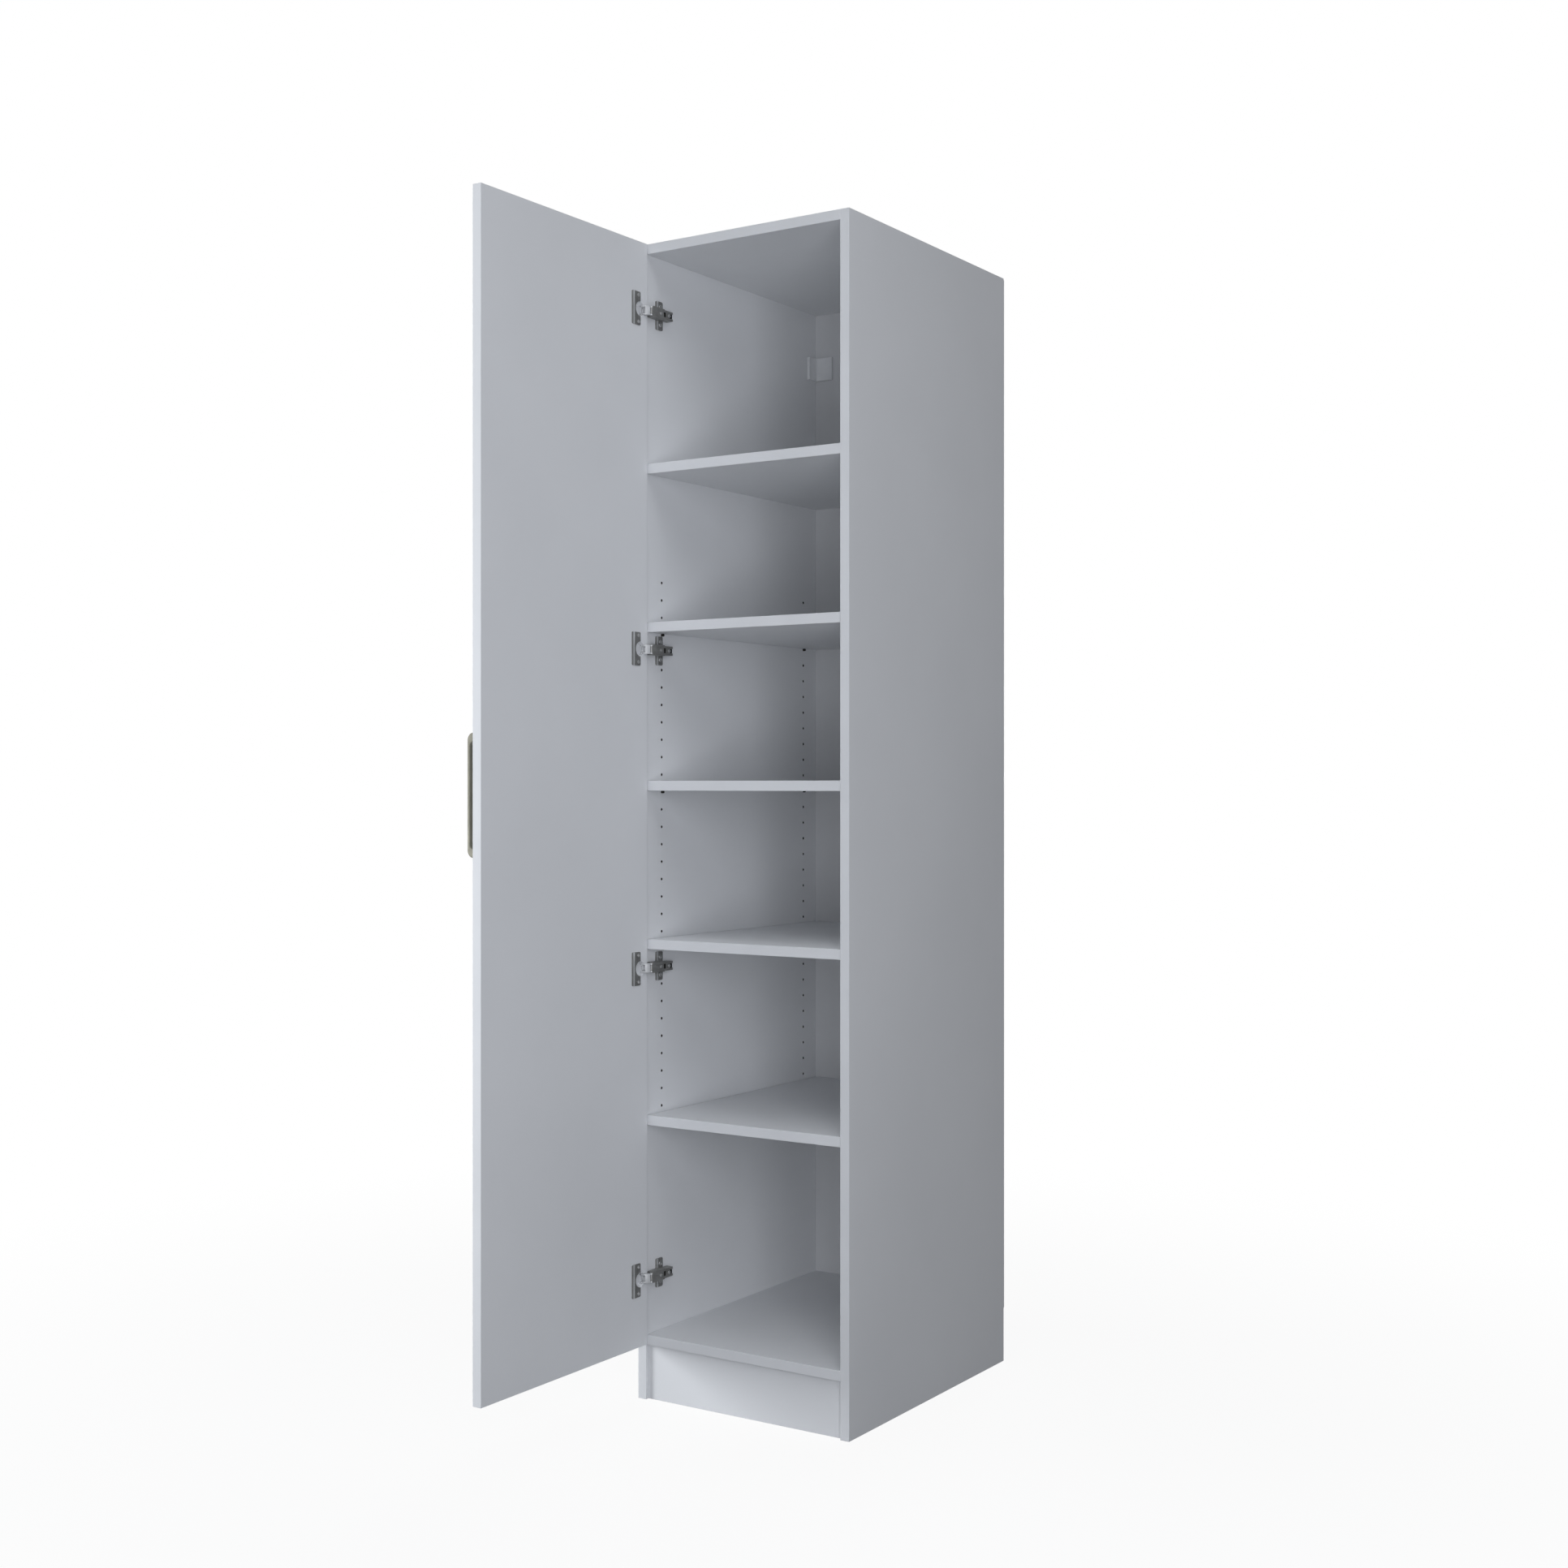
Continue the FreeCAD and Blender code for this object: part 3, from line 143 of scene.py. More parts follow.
melamine = finish(
    "whiteMelamine", (0.785, 0.796, 0.812), (0.815, 0.826, 0.842), (0.44, 0.56),
    {"scale": 900.0, "strength": 0.12, "depth": 0.0002}, drift=3.0, specular=0.14,
)
edgeBand = finish(
    "whiteEdgeBand", (0.78, 0.793, 0.812), (0.805, 0.818, 0.837), (0.36, 0.48),
    {"scale": 700.0, "strength": 0.06, "depth": 0.0002}, drift=8.0, specular=0.17,
)
hardboard = finish(
    "whiteHardboard", (0.655, 0.662, 0.675), (0.69, 0.697, 0.71), (0.5, 0.62),
    {"scale": 500.0, "strength": 0.15, "depth": 0.0003}, drift=5.0, specular=0.14,
)
# the chipboard inside the drilled holes: its own brown darkened to near black as painted shade in
# the holes
coreInHoleShade = finish(
    "coreInHoleShade", (0.02, 0.017, 0.013), (0.055, 0.045, 0.034), (0.8, 0.95),
    {"scale": 1200.0, "strength": 0.5, "depth": 0.0004}, drift=900.0, specular=0.1,
)
hingeSteel = finish(
    "satinNickel", (0.225, 0.225, 0.218), (0.275, 0.275, 0.267), (0.38, 0.5),
    {"scale": 400.0, "strength": 0.1, "depth": 0.00015}, metallic=0.45, stretch=(1, 1, 8),
    drift=60.0,
)
# painted highlight: the same steel made lighter on a band of the cup flanges and plate wings, for
# the light they reflect there
bevelHighlightPaint = finish(
    "paintedBevelHighlight", (0.63, 0.637, 0.64), (0.71, 0.717, 0.72), (0.28, 0.38),
    {"scale": 500.0, "strength": 0.06, "depth": 0.0001}, metallic=0.45, stretch=(1, 1, 6),
    drift=80.0,
)
linkSteel = finish(
    "brightNickel", (0.5, 0.51, 0.52), (0.56, 0.57, 0.58), (0.4, 0.5),
    {"scale": 500.0, "strength": 0.06, "depth": 0.0001}, metallic=0.1, stretch=(1, 1, 6),
    drift=80.0,
)
# painted highlight: near white on the outer link's end at the arm, for the light it reflects
eyeHighlightPaint = finish(
    "paintedEyeHighlight", (0.86, 0.87, 0.88), (0.92, 0.93, 0.94), (0.24, 0.32),
    {"scale": 500.0, "strength": 0.05, "depth": 0.0001}, metallic=0.15, stretch=(1, 1, 6),
    drift=80.0,
)
# painted light: the cup's pocket, and the cup past its middle towards the door's hinge edge,
# painted pale so they show little of the shade there
cupPocketLightPaint = finish(
    "cupPocketPaintedLight", (0.75, 0.76, 0.775), (0.79, 0.8, 0.815), (0.44, 0.56),
    {"scale": 500.0, "strength": 0.06, "depth": 0.0001}, drift=70.0, specular=0.22,
)
screwSteel = finish(
    "platedScrew", (0.4, 0.405, 0.41), (0.5, 0.505, 0.51), (0.26, 0.4),
    {"scale": 700.0, "strength": 0.08, "depth": 0.0001}, metallic=0.6, drift=120.0,
)
castZinc = finish(
    "castZinc", (0.34, 0.345, 0.35), (0.42, 0.425, 0.43), (0.45, 0.6),
    {"scale": 900.0, "strength": 0.2, "depth": 0.0002}, metallic=0.7, drift=150.0,
)
handleChampagne = finish(
    "brushedChampagne", (0.165, 0.16, 0.128), (0.205, 0.198, 0.159), (0.4, 0.52),
    {"scale": 260.0, "strength": 0.12, "depth": 0.0001}, metallic=0.4, stretch=(10, 10, 0.4),
    drift=40.0, specular=0.2,
)
coverPlastic = finish(
    "paleCoverPlastic", (0.74, 0.75, 0.765), (0.78, 0.79, 0.805), (0.3, 0.4),
    {"scale": 1500.0, "strength": 0.12, "depth": 0.0001}, drift=25.0,
)
capPlastic = finish(
    "whiteCapPlastic", (0.785, 0.796, 0.812), (0.815, 0.826, 0.842), (0.44, 0.56),
    {"scale": 900.0, "strength": 0.1, "depth": 0.0002}, drift=3.0, specular=0.14,
)
# the shelf pins are near black
nearBlackPin = finish(
    "nearBlackShelfPin", (0.022, 0.02, 0.017), (0.04, 0.036, 0.03), (0.45, 0.6),
    {"scale": 700.0, "strength": 0.08, "depth": 0.0001}, metallic=0.3, drift=120.0, specular=0.2,
)
# painted shade: near black on the plate's middle under the arm, where shade falls
armShadePaint = finish(
    "armShadePaint", (0.012, 0.012, 0.012), (0.022, 0.022, 0.021), (0.6, 0.75),
    {"scale": 500.0, "strength": 0.1, "depth": 0.0001}, drift=80.0, specular=0.1,
)
beech = finish(
    "rawBeech", (0.42, 0.26, 0.13), (0.58, 0.39, 0.22), (0.6, 0.75),
    {"scale": 300.0, "strength": 0.25, "depth": 0.0002}, stretch=(0.3, 6, 6), drift=120.0,
)
finishOfSlot = {
    "white_board": melamine,
    "white_hardboard": hardboard,
    "beech": beech,
    "zinc": castZinc,
    "hinge_nickel": hingeSteel,
    "link_nickel": linkSteel,
    "cover_plastic": coverPlastic,
    "cap_plastic": capPlastic,
    "handle_metal": handleChampagne,
    "fastener_steel": screwSteel,
    "pin_bronze": nearBlackPin,
}
for nodeName, nodeObject in frame["nodes"].items():
    nodeObject.data.materials.clear()
    nodeObject.data.materials.append(finishOfSlot[slotOf[nodeName]])
print("materials made")


# modelling helpers

def deselectAll():
    bpy.ops.object.select_all(action="DESELECT")


def activate(piece):
    deselectAll()
    piece.select_set(True)
    bpy.context.view_layer.objects.active = piece


def applyPlace(piece):
    activate(piece)
    bpy.ops.object.transform_apply(location=True, rotation=True, scale=True)


def applyModifiers(piece):
    activate(piece)
    for modifier in list(piece.modifiers):
        bpy.ops.object.modifier_apply(modifier=modifier.name)


def addBlock(name, low, high):
    low, high = Vector(low), Vector(high)
    deselectAll()
    bpy.ops.mesh.primitive_cube_add(size=1, location=(low + high) / 2)
    block = bpy.context.object
    block.name = name
    block.scale = high - low
    applyPlace(block)
    return block


turnAlong = {"x": (0, math.pi / 2, 0), "y": (math.pi / 2, 0, 0), "z": (0, 0, 0)}


def addRound(name, along, place, radius, length, sides):
    deselectAll()
    bpy.ops.mesh.primitive_cylinder_add(
        vertices=sides, radius=radius, depth=length, location=place, rotation=turnAlong[along]
    )
    bar = bpy.context.object
    bar.name = name
    applyPlace(bar)
    return bar


def selectFaces(piece, chosen):
    activate(piece)
    bpy.ops.object.mode_set(mode="EDIT")
    bpy.ops.mesh.select_mode(type="FACE")
    bpy.ops.mesh.select_all(action="DESELECT")
    bpy.ops.object.mode_set(mode="OBJECT")
    for face in piece.data.polygons:
        face.select = chosen(face)
    bpy.ops.object.mode_set(mode="EDIT")


def leaveEdit():
    bpy.ops.object.mode_set(mode="OBJECT")


def bevelEdges(piece, width, segments=2, angle=35):
    bevel = piece.modifiers.new("ease", "BEVEL")
    bevel.width = width
    bevel.segments = segments
    bevel.limit_method = "ANGLE"
    bevel.angle_limit = math.radians(angle)
    applyModifiers(piece)


def smooth(piece, angle=35):
    activate(piece)
    bpy.ops.object.shade_smooth_by_angle(angle=math.radians(angle))


def joinPieces(pieces, name):
    deselectAll()
    for piece in pieces:
        piece.select_set(True)
    bpy.context.view_layer.objects.active = pieces[0]
    if len(pieces) > 1:
        bpy.ops.object.join()
    pieces[0].name = name
    return pieces[0]


def carve(piece, cutter):
    boolean = piece.modifiers.new("carve", "BOOLEAN")
    boolean.operation = "DIFFERENCE"
    boolean.solver = "EXACT"
    boolean.material_mode = "TRANSFER"
    boolean.object = cutter
    applyModifiers(piece)
    bpy.data.objects.remove(cutter)


def setMaterial(piece, *materials):
    piece.data.materials.clear()
    for material in materials:
        piece.data.materials.append(material)


def copyOf(piece, name, move):
    double = piece.copy()
    double.data = piece.data.copy()
    double.name = name
    scene.collection.objects.link(double)
    double.data.transform(move)
    return double


def settle(piece, node, *moreNodes):
    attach(piece, bodyOf[node])
    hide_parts(node, *moreNodes)


copySetup = {"near": 0.00001, "flat": 0.6, "sharp": 40}  # metres, then degrees


# a copy of a CAD node with its doubled points merged and its flat faces made whole
def mergedCopy(node, name):
    piece = bpy.data.objects.new(name, frame["nodes"][node].data.copy())
    scene.collection.objects.link(piece)
    activate(piece)
    bpy.ops.object.mode_set(mode="EDIT")
    bpy.ops.mesh.select_all(action="SELECT")
    bpy.ops.mesh.remove_doubles(threshold=copySetup["near"])
    bpy.ops.mesh.dissolve_limited(angle_limit=math.radians(copySetup["flat"]))
    leaveEdit()
    return piece


# a merged copy of a CAD node, with its sharp edges eased
def easedCopy(node, name, width):
    piece = mergedCopy(node, name)
    bevelEdges(piece, width, angle=copySetup["sharp"])
    smooth(piece)
    return piece


# the lowest and highest corner of each separate solid in a node, from a copy that is taken apart
def solidBoxes(node):
    mergedCopy(node, "probe")
    bpy.ops.object.mode_set(mode="EDIT")
    bpy.ops.mesh.select_all(action="SELECT")
    bpy.ops.mesh.separate(type="LOOSE")
    leaveEdit()
    boxes = []
    for loose in list(bpy.context.selected_objects):
        corners = [corner.co for corner in loose.data.vertices]
        low = Vector([min(corner[axis] for corner in corners) for axis in range(3)])
        high = Vector([max(corner[axis] for corner in corners) for axis in range(3)])
        boxes.append((low, high))
        bpy.data.objects.remove(loose)
    return boxes


# boards: eased blocks with four banded edges, drilled where the photograph and the fittings need it

boardSetup = {"ease": 0.0006, "flat": 0.99, "drillSides": 24}
pinHoles = {
    "count": 32, "pitch": 0.032, "top": 1.4885, "fromFront": 0.047, "fromRear": 0.047,
    "radius": 0.00255, "depth": 0.011,
}
camBores = {"radius": 0.0076, "depth": 0.0126, "fromEnd": 0.034, "fromEdge": 0.06}


def easedBoard(node, faceMaterial, bandMaterial):
    low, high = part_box(node)
    board = addBlock(node + "Board", low, high)
    bevelEdges(board, boardSetup["ease"])
    setMaterial(board, faceMaterial, bandMaterial)
    extent = high - low
    thin = min(range(3), key=lambda axis: extent[axis])
    for face in board.data.polygons:
        face.material_index = 0 if abs(face.normal[thin]) > boardSetup["flat"] else 1
    return board


# each hole is a direction, a place on the board's face, a radius and a length
def drill(board, holes, boreWall):
    cutters = [addRound("drillBit", *hole, boardSetup["drillSides"]) for hole in holes]
    bits = joinPieces(cutters, "drillBits")
    setMaterial(bits, boreWall)
    carve(board, bits)


def pinRowHoles(faceX):
    low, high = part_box("left_side")
    rows = (low.y + pinHoles["fromFront"], high.y - pinHoles["fromRear"])
    heights = [pinHoles["top"] - step * pinHoles["pitch"] for step in range(pinHoles["count"])]
    return [
        ("x", (faceX, y, z), pinHoles["radius"], 2 * pinHoles["depth"])
        for y in rows
        for z in heights
    ]


def camHoles(node, faceZ):
    low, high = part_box(node)
    return [
        ("z", (x, y, faceZ), camBores["radius"], 2 * camBores["depth"])
        for x in (low.x + camBores["fromEnd"], high.x - camBores["fromEnd"])
        for y in (low.y + camBores["fromEdge"], high.y - camBores["fromEdge"])
    ]


for side, inner in (("left_side", 1), ("right_side", 0)):
    board = easedBoard(side, melamine, edgeBand)
    drill(board, pinRowHoles(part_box(side)[inner].x), coreInHoleShade)
    settle(board, side)
for tie, top in (("top_panel", True), ("fixed_shelf", True), ("bottom_panel", False)):
    board = easedBoard(tie, melamine, edgeBand)
    drill(board, camHoles(tie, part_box(tie)[1 if top else 0].z), coreInHoleShade)
    settle(board, tie)
for plain in ["plinth"] + [f"adjustable_shelf_{row}" for row in range(1, 5)]:
    settle(easedBoard(plain, melamine, edgeBand), plain)
print("carcass boards made")


# door: bored for the hinge cups and the handle's screw caps

hingeRows = range(1, 5)
doorBores = {
    "cupRadius": 0.0176, "cupDepth": 0.0126, "cupFromEdge": 0.022,
    "capRadius": 0.0061, "capDepth": 0.0021,
}
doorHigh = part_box("door_panel")[1]
cupBoxes = [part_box(f"hinge_{row}_cup") for row in hingeRows]
hingeHeights = [sum((corner.z for corner in box), 0.0) / 2 for box in cupBoxes]
capLow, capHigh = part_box("handle_screw_caps")
capRadius = (capHigh.y - capLow.y) / 2
capPlaces = [((capLow.y + capHigh.y) / 2, z) for z in (capLow.z + capRadius, capHigh.z - capRadius)]
door = easedBoard("door_panel", melamine, edgeBand)
cupY = doorHigh.y - doorBores["cupFromEdge"]
doorHoles = [
    ("x", (doorHigh.x, cupY, z), doorBores["cupRadius"], 2 * doorBores["cupDepth"])
    for z in hingeHeights
]
doorHoles += [
    ("x", (doorHigh.x, y, z), doorBores["capRadius"], 2 * doorBores["capDepth"])
    for y, z in capPlaces
]
drill(door, doorHoles, melamine)
settle(door, "door_panel")
print("door made")


# back panel with its two wall screw holes

wallHoles = {"radius": 0.00275, "fromSide": 0.024, "length": 0.02}
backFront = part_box("back_panel")[0].y
back = easedBoard("back_panel", hardboard, edgeBand)
wallZ = sum((corner.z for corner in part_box("wall_angle_left")), 0.0) / 2
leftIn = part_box("left_side")[1].x
wallXs = (leftIn + wallHoles["fromSide"], -leftIn - wallHoles["fromSide"])
backHoles = [("y", (x, backFront, wallZ), wallHoles["radius"], wallHoles["length"]) for x in wallXs]
drill(back, backHoles, coreInHoleShade)
settle(back, "back_panel")
print("back panel made")


# hinges: the lowest one is finished from its CAD shape, the other three are copies of it

hingeSetup = {
    "cup": {
        "ease": 0.0004,
        "corner": 0.0026,
        "cornerSteps": 5,
        "strip": (0.0038, 0.0072),  # a band painted lighter as a highlight, this far from the flange's edge that is nearest the handle
        "skin": 0.00005,  # the flange lies this near the door's face
        "flangeReach": 0.0004,  # past the middle of the cup
        "rimDepth": 0.0012,
        "rimFacing": 0.5,
    },
    # the plate's band is a strip of its wings painted lighter as a highlight
    "plate": {"ease": 0.0005, "strip": (0.0022, 0.0062), "wingHalf": 0.012},
    "arm": {"ease": 0.0005},
    "outer_link": {"ease": 0.0005, "shine": 0.005, "facing": 0.3},  # painted highlight: a near-white band this far from the link's end at the arm
    "inner_link": {"ease": 0.0003},
}
cornerEdges = {"atEnd": 0.00005, "straight": 0.00002, "least": 0.0001}
# faces turned this much into the cabinet, inside a band, get the painted highlight
highlightFacing = 0.7
doorFace = doorHigh.x


def scoreAt(piece, y):
    activate(piece)
    bpy.ops.object.mode_set(mode="EDIT")
    bpy.ops.mesh.select_all(action="SELECT")
    bpy.ops.mesh.bisect(plane_co=(0, y, 0), plane_no=(0, 1, 0))
    leaveEdit()


# rounds the four corners of a cup's flange
def roundFlange(piece, low, high, radius, steps):
    activate(piece)
    bpy.ops.object.mode_set(mode="EDIT")
    bpy.ops.mesh.select_mode(type="EDGE")
    bpy.ops.mesh.select_all(action="DESELECT")
    leaveEdit()
    points = piece.data.vertices
    for edge in piece.data.edges:
        one, two = (points[index].co for index in edge.vertices)
        along = two - one
        atEnd = min(abs(one.z - low.z), abs(one.z - high.z)) < cornerEdges["atEnd"]
        straight = max(abs(along.y), abs(along.z)) < cornerEdges["straight"]
        edge.select = atEnd and straight and abs(along.x) > cornerEdges["least"]
    bpy.ops.object.mode_set(mode="EDIT")
    bpy.ops.mesh.bevel(offset=radius, segments=steps, affect="EDGES")
    leaveEdit()


def makeCup(node, name, setup):
    low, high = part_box(node)
    cup = mergedCopy(node, name)
    roundFlange(cup, low, high, setup["corner"], setup["cornerSteps"])
    bevelEdges(cup, setup["ease"], angle=copySetup["sharp"])
    highlightLow, highlightHigh = (low.y + reach for reach in setup["strip"])
    scoreAt(cup, highlightLow)
    scoreAt(cup, highlightHigh)
    setMaterial(cup, hingeSteel, cupPocketLightPaint, bevelHighlightPaint, melamine)
    for face in cup.data.polygons:
        atFace = face.center.x > doorFace - setup["skin"]
        nearFace = face.center.x > doorFace - setup["rimDepth"]
        onFlange = atFace and face.center.y < cupY + setup["flangeReach"]
        onRim = not onFlange and nearFace and face.normal.x > setup["rimFacing"]
        # flange faces in the band that face into the cabinet get the painted highlight
        onPaintedHighlight = highlightLow < face.center.y < highlightHigh and face.normal.x > highlightFacing
        # index 1 is the pocket and the hinge-side part painted pale as painted light, index 2 the
        # painted highlight band
        face.material_index = 3 if onRim else 1 if not onFlange else 2 if onPaintedHighlight else 0
    smooth(cup)
    return cup


def makePlate(node, name, setup):
    plate = easedCopy(node, name, setup["ease"])
    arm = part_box(node.replace("plate", "arm"))
    screwY = sum((corner.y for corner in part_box("hinge_plate_screws")), 0.0) / 2
    wingFront = screwY - setup["wingHalf"]
    highlightLow, highlightHigh = (wingFront + reach for reach in setup["strip"])
    scoreAt(plate, highlightLow)
    scoreAt(plate, highlightHigh)
    setMaterial(plate, hingeSteel, bevelHighlightPaint, armShadePaint)
    for face in plate.data.polygons:
        # off the wings, under the arm, the plate is painted near black as shade
        onWing = face.center.z < arm[0].z or face.center.z > arm[1].z
        # wing faces in the band that face into the cabinet get the painted highlight
        onPaintedHighlight = highlightLow < face.center.y < highlightHigh and face.normal.x > highlightFacing
        face.material_index = 2 if not onWing else 1 if onPaintedHighlight else 0
    return plate


def makeHingePart(part, name):
    node, setup = f"hinge_1_{part}", hingeSetup[part]
    if part == "cup":
        return makeCup(node, name, setup)
    if part == "plate":
        return makePlate(node, name, setup)
    piece = easedCopy(node, name, setup["ease"])
    if part == "outer_link":
        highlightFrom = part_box(node)[1].y - setup["shine"]
        scoreAt(piece, highlightFrom)
        setMaterial(piece, linkSteel, eyeHighlightPaint)
        for face in piece.data.polygons:
            # faces near the end at the arm that face into the cabinet get the painted highlight
            inPaintedHighlight = face.center.y > highlightFrom and face.normal.x > setup["facing"]
            face.material_index = 1 if inPaintedHighlight else 0
    else:
        setMaterial(piece, linkSteel if part == "inner_link" else hingeSteel)
    return piece


for part in hingeSetup:
    partName = part.title().replace("_", "")
    model = makeHingePart(part, f"hinge1{partName}")
    settle(model, f"hinge_1_{part}")
    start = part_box(f"hinge_1_{part}")[0]
    for row in hingeRows[1:]:
        node = f"hinge_{row}_{part}"
        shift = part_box(node)[0] - start
        settle(copyOf(model, f"hinge{row}{partName}", Matrix.Translation(shift)), node)
print("hinges made")


# screws and cams: eased CAD shapes with a cross recess, modelled once for a head of unit width

driveSetup = {"span": 0.52, "wide": 0.13, "depth": 0.13, "taper": 0.6, "facing": 0.9}


def makeDrive():
    wide, depth = driveSetup["wide"], driveSetup["depth"]
    drive = addBlock("crossDrive", (-wide / 2, -wide / 2, -depth), (wide / 2, wide / 2, depth))
    reach = (driveSetup["span"] - wide) / 2
    for way in (Vector((1, 0, 0)), Vector((-1, 0, 0)), Vector((0, 1, 0)), Vector((0, -1, 0))):
        aside = Vector((way.y, way.x, 0))
        selectFaces(
            drive,
            lambda face: face.normal.dot(way) > driveSetup["facing"]
            and abs(face.center.dot(aside)) < wide / 4,
        )
        bpy.ops.mesh.extrude_region_move(TRANSFORM_OT_translate={"value": way * reach})
        leaveEdit()
    selectFaces(drive, lambda face: face.normal.z < -driveSetup["facing"])
    taper = driveSetup["taper"]
    bpy.ops.transform.resize(value=(taper, taper, 1), center_override=(0, 0, -depth))
    leaveEdit()
    return drive


# where a screw's head is: at its end that looks into the cabinet, to the rear or down
def headOf(low, high):
    extent = high - low
    axis = max(range(3), key=lambda way: extent[way])
    place = (low + high) / 2
    outward = 1 if axis == 1 or place[axis] < 0 else -1
    place[axis] = high[axis] if outward > 0 else low[axis]
    facing = Vector((0, 0, 0))
    facing[axis] = outward
    return place, facing, sorted(extent)[1]


camSetup = {"near": 0.0001}  # a cam this near the bottom panel's underside shows its face there


# a cam shows its face at the top of a panel, or under the lowest one
def camFace(low, high):
    under = low.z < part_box("bottom_panel")[0].z + camSetup["near"]
    place = (low + high) / 2
    place.z = low.z if under else high.z
    return place, Vector((0, 0, -1 if under else 1)), high.x - low.x


def recess(piece, drive, heads):
    upright = Vector((0, 0, 1))
    cutters = []
    for place, facing, width in heads:
        turn = upright.rotation_difference(facing).to_matrix().to_4x4()
        move = Matrix.Translation(place) @ turn @ Matrix.Scale(width, 4)
        cutters.append(copyOf(drive, "driveCut", move))
    carve(piece, joinPieces(cutters, "driveCuts"))


fasteners = {
    "hinge_cup_screws": {"ease": 0.0003, "finish": screwSteel},
    "hinge_plate_screws": {"ease": 0.0005, "finish": screwSteel},
    "hinge_arm_screws": {"ease": 0.0003, "finish": screwSteel},
    "back_panel_screws": {"ease": 0.0005, "finish": screwSteel},
    "plinth_angle_screws": {"ease": 0.0006, "finish": screwSteel},
    "cam_housings": {"ease": 0.0004, "finish": castZinc},
}
crossDrive = makeDrive()
setMaterial(crossDrive, screwSteel)
for node, setup in fasteners.items():
    headPlace = camFace if node == "cam_housings" else headOf
    heads = [headPlace(low, high) for low, high in solidBoxes(node)]
    words = node.split("_")
    piece = easedCopy(node, words[0] + "".join(word.title() for word in words[1:]), setup["ease"])
    recess(piece, crossDrive, heads)
    setMaterial(piece, setup["finish"])
    smooth(piece)
    settle(piece, node)
bpy.data.objects.remove(crossDrive)
print("screws and cams made")


# shelf pins, plinth angles and screw caps

smallPieces = {
    "shelf_pins": {"name": "shelfPins", "ease": 0.0005, "soft": 35, "finish": nearBlackPin},
    "plinth_angles": {"name": "plinthAngles", "ease": 0.0004, "soft": 35, "finish": screwSteel},
    "handle_screw_caps": {
        "name": "handleScrewCaps", "ease": 0.0002, "soft": 10, "finish": capPlastic,
    },
}
for node, setup in smallPieces.items():
    piece = easedCopy(node, setup["name"], setup["ease"])
    smooth(piece, setup["soft"])
    setMaterial(piece, setup["finish"])
    settle(piece, node)
print("small pieces made")


# corner covers: the two faces that look into the cabinet are dished inside a sloping lip

coverSetup = {
    "lip": 0.004,
    "sunk": 0.0012,
    "ease": 0.0006,
    "steps": 3,
    "facing": 0.9,
    "leastArea": 0.0008,  # square metres
}
for hand, inward in (("left", 1), ("right", -1)):
    node = f"wall_angle_cover_{hand}"
    cover = mergedCopy(node, f"cornerCover{hand.title()}")
    selectFaces(
        cover,
        lambda face: face.area > coverSetup["leastArea"]
        and max(-face.normal.y, face.normal.x * inward) > coverSetup["facing"],
    )
    bpy.ops.mesh.inset(thickness=coverSetup["lip"], depth=-coverSetup["sunk"], use_individual=True)
    leaveEdit()
    bevelEdges(cover, coverSetup["ease"], coverSetup["steps"], copySetup["sharp"])
    smooth(cover)
    setMaterial(cover, coverPlastic)
    settle(cover, node)
print("corner covers made")


# handle: the bow from its CAD shape, its soft edges shaded smooth

handleSetup = {"soft": 30}  # degrees
handle = mergedCopy("handle", "bowHandle")
setMaterial(handle, handleChampagne)
smooth(handle, handleSetup["soft"])
settle(handle, "handle")
print("handle made")


# studio: white surround, soft light, a floor that keeps the shadow

studio = {
    "ambient": 0.03,
    "ambientTint": (0.95, 0.975, 1.0),
    "mainTint": (0.945, 0.97, 1.0),
    "fillTint": (0.918, 0.942, 1.0),
    "floorHalf": 30.0,
    "floorBounce": (0.15, 0.152, 0.155),  # for the light that the floor throws back
    "floorRough": 0.9,
    "floorGloss": 0.1,
    "floorSeen": (0.85, 0.855, 0.865),  # as the camera sees it, under the plain white
    "floorWhite": 0.92,  # how much of the floor near the wardrobe the camera sees as plain white
    "shadowReach": (0.7, 2.6),  # metres from the middle over which the floor turns all white
}
world = bpy.data.worlds.new("studioWorld")
scene.world = world
world.use_nodes = True
worldNodes, worldLinks = world.node_tree.nodes, world.node_tree.links
ambient = worldNodes["Background"]
ambient.inputs["Color"].default_value = (*studio["ambientTint"], 1)
ambient.inputs["Strength"].default_value = studio["ambient"]
white = worldNodes.new("ShaderNodeBackground")
white.inputs["Color"].default_value = (1, 1, 1, 1)
white.inputs["Strength"].default_value = 1.0


def seenRays(nodes, links):
    rays = nodes.new("ShaderNodeLightPath")
    total = rays.outputs["Is Camera Ray"]
    for way in ("Is Glossy Ray", "Is Transmission Ray"):
        add = nodes.new("ShaderNodeMath")
        add.operation = "MAXIMUM"
        links.new(total, add.inputs[0])
        links.new(rays.outputs[way], add.inputs[1])
        total = add.outputs["Value"]
    return total


choose = worldNodes.new("ShaderNodeMixShader")
worldLinks.new(seenRays(worldNodes, worldLinks), choose.inputs["Fac"])
worldLinks.new(ambient.outputs["Background"], choose.inputs[1])
worldLinks.new(white.outputs["Background"], choose.inputs[2])
worldLinks.new(choose.outputs["Shader"], worldNodes["World Output"].inputs["Surface"])

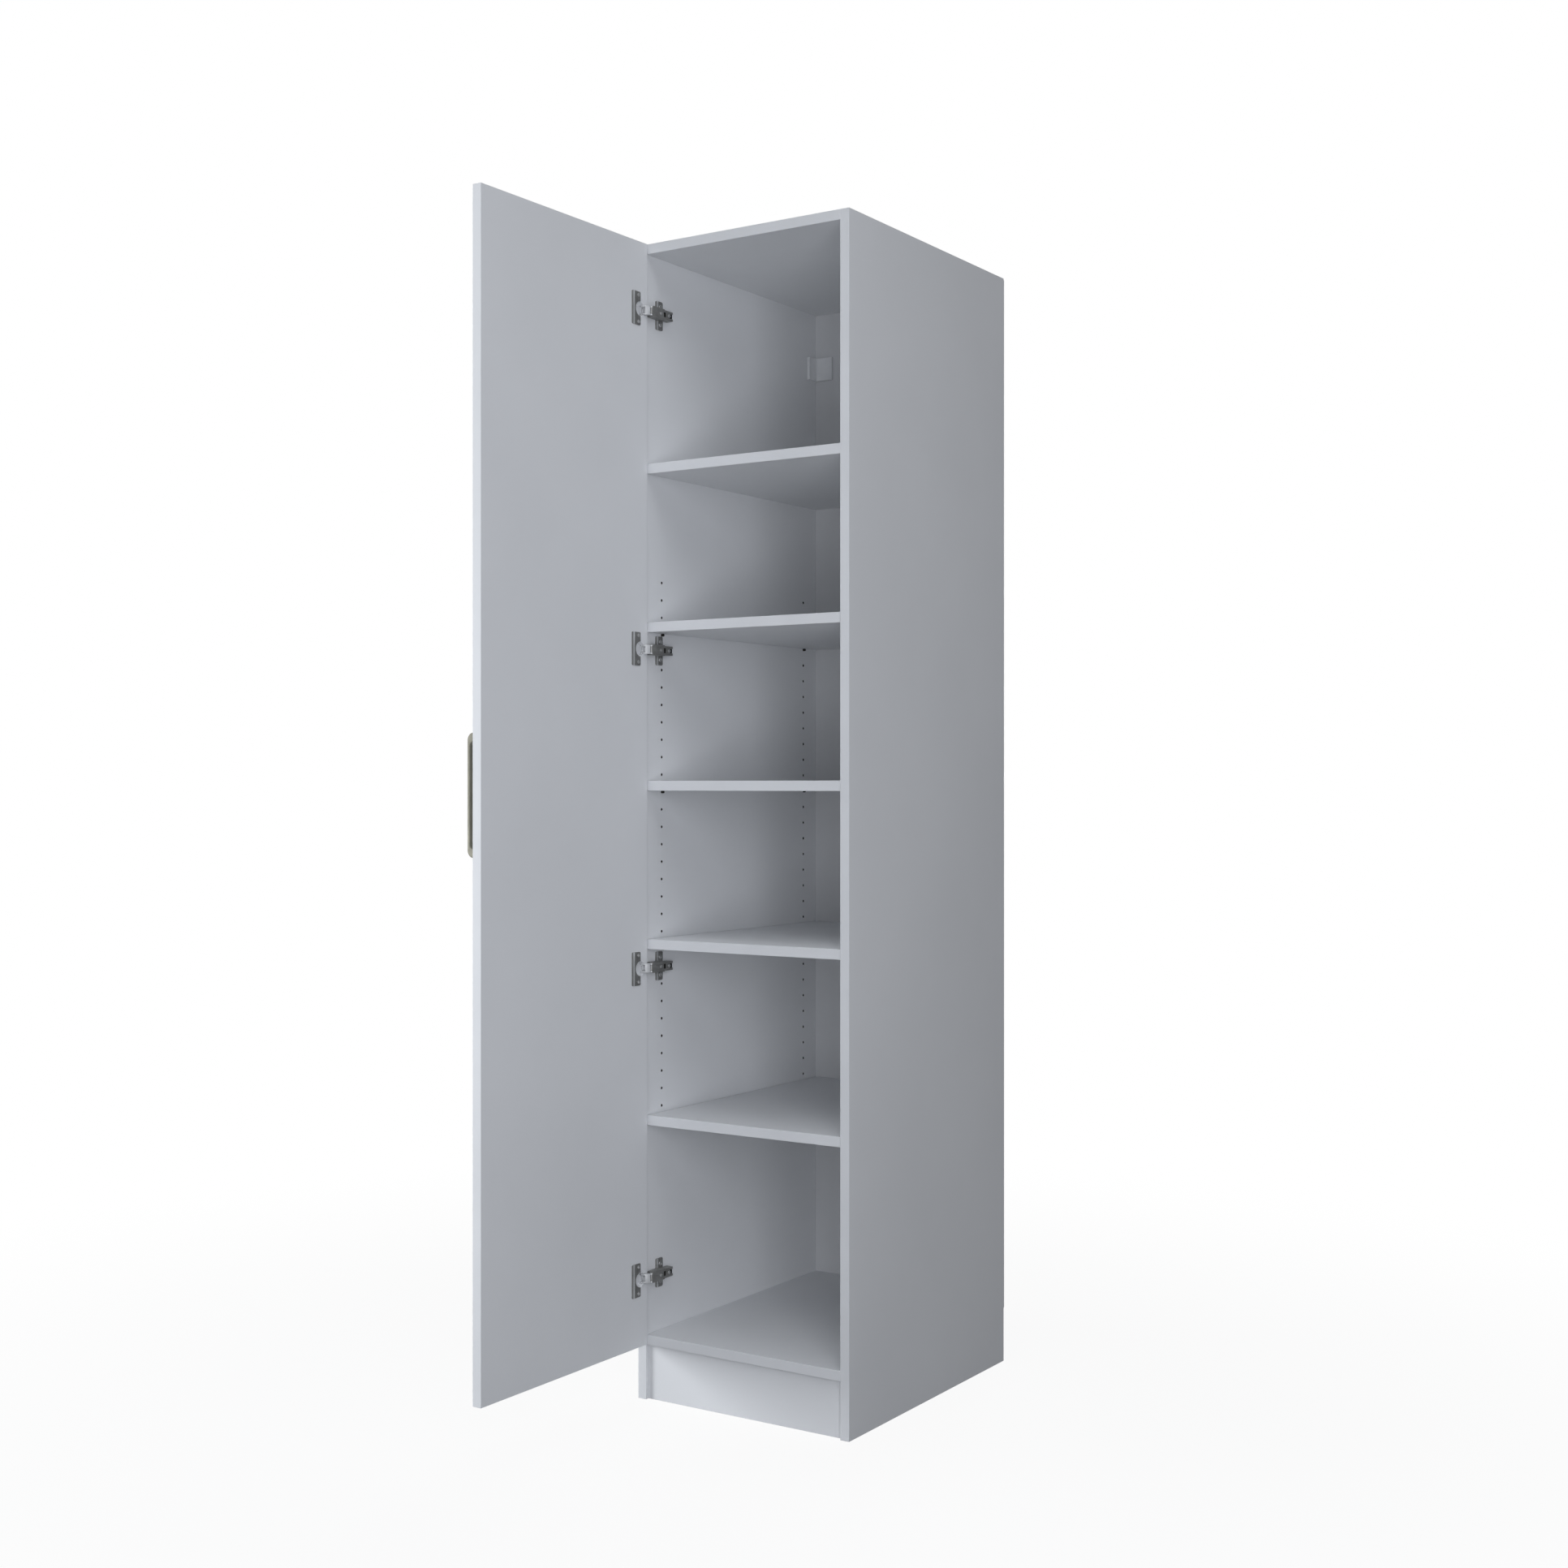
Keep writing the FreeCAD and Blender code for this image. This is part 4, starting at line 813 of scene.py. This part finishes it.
deselectAll()
bpy.ops.mesh.primitive_plane_add(size=2 * studio["floorHalf"], location=(0, 0, 0))
floor = bpy.context.object
floor.name = "studioFloor"
floorMaterial, floorNodes, floorLinks, floorShader = newMaterial("paleFloor")
floorShader.inputs["Base Color"].default_value = (*studio["floorBounce"], 1)
floorShader.inputs["Roughness"].default_value = studio["floorRough"]
floorShader.inputs["Specular IOR Level"].default_value = studio["floorGloss"]
glow = floorNodes.new("ShaderNodeEmission")
glow.inputs["Color"].default_value = (1, 1, 1, 1)
glow.inputs["Strength"].default_value = 1.0
floorPlace = floorNodes.new("ShaderNodeTexCoord")
floorReach = floorNodes.new("ShaderNodeVectorMath")
floorReach.operation = "LENGTH"
floorLinks.new(floorPlace.outputs["Object"], floorReach.inputs[0])
turnWhite = floorNodes.new("ShaderNodeMapRange")
turnWhite.interpolation_type = "SMOOTHSTEP"
turnWhite.inputs["From Min"].default_value = studio["shadowReach"][0]
turnWhite.inputs["From Max"].default_value = studio["shadowReach"][1]
turnWhite.inputs["To Min"].default_value = studio["floorWhite"]
turnWhite.inputs["To Max"].default_value = 1.0
floorLinks.new(floorReach.outputs["Value"], turnWhite.inputs["Value"])
paleSeen = floorNodes.new("ShaderNodeBsdfDiffuse")
paleSeen.inputs["Color"].default_value = (*studio["floorSeen"], 1)
seenFloor = floorNodes.new("ShaderNodeMixShader")
floorLinks.new(turnWhite.outputs["Result"], seenFloor.inputs["Fac"])
floorLinks.new(paleSeen.outputs["BSDF"], seenFloor.inputs[1])
floorLinks.new(glow.outputs["Emission"], seenFloor.inputs[2])
blend = floorNodes.new("ShaderNodeMixShader")
floorLinks.new(seenRays(floorNodes, floorLinks), blend.inputs["Fac"])
floorLinks.new(floorShader.outputs["BSDF"], blend.inputs[1])
floorLinks.new(seenFloor.outputs["Shader"], blend.inputs[2])
floorLinks.new(blend.outputs["Shader"], floorNodes["Material Output"].inputs["Surface"])
setMaterial(floor, floorMaterial)

lamps = {
    "keyLeft": {
        "place": (-3.6, -2.4, 1.0), "aim": (-0.2, -0.3, 0.9),
        "size": (1.8, 1.8), "power": 122.0, "tint": "mainTint",
    },
    "fillRight": {
        "place": (2.2, -2.4, 1.25), "aim": (0.0, 0.1, 1.2),
        "size": (1.2, 2.3), "power": 38.5, "tint": "fillTint",
    },
    "fillFront": {
        "place": (1.5, -2.9, 1.0), "aim": (0.0, 0.1, 1.0),
        "size": (1.4, 1.9), "power": 9.7, "tint": "fillTint",
    },
    "lowFront": {
        "place": (1.2, -2.9, 0.45), "aim": (-0.2, -0.2, 0.4),
        "size": (1.2, 0.7), "power": 6.0, "tint": "fillTint",
    },
    "highRight": {
        "place": (2.3, -0.6, 3.2), "aim": (0.2, 0.1, 1.4),
        "size": (1.2, 1.2), "power": 9.5, "tint": "fillTint",
    },
    "topSoft": {
        "place": (0.6, -1.8, 4.6), "aim": (0.0, 0.0, 1.0),
        "size": (3.0, 3.0), "power": 42.0, "tint": "mainTint",
    },
    "rearSoft": {
        "place": (-0.7, 4.2, 1.8), "aim": (0.0, 0.5, 1.0),
        "size": (1.6, 1.6), "power": 60.0, "tint": "mainTint",
    },
}
for lampName, lamp in lamps.items():
    lampData = bpy.data.lights.new(lampName, "AREA")
    lampData.shape = "RECTANGLE"
    lampData.size, lampData.size_y = lamp["size"]
    lampData.energy = lamp["power"]
    lampData.color = studio[lamp["tint"]]
    lampObject = bpy.data.objects.new(lampName, lampData)
    lampObject.location = lamp["place"]
    heading = Vector(lamp["aim"]) - Vector(lamp["place"])
    lampObject.rotation_euler = heading.to_track_quat("-Z", "Y").to_euler()
    scene.collection.objects.link(lampObject)
scene.view_settings.view_transform = "Standard"
print("studio set")
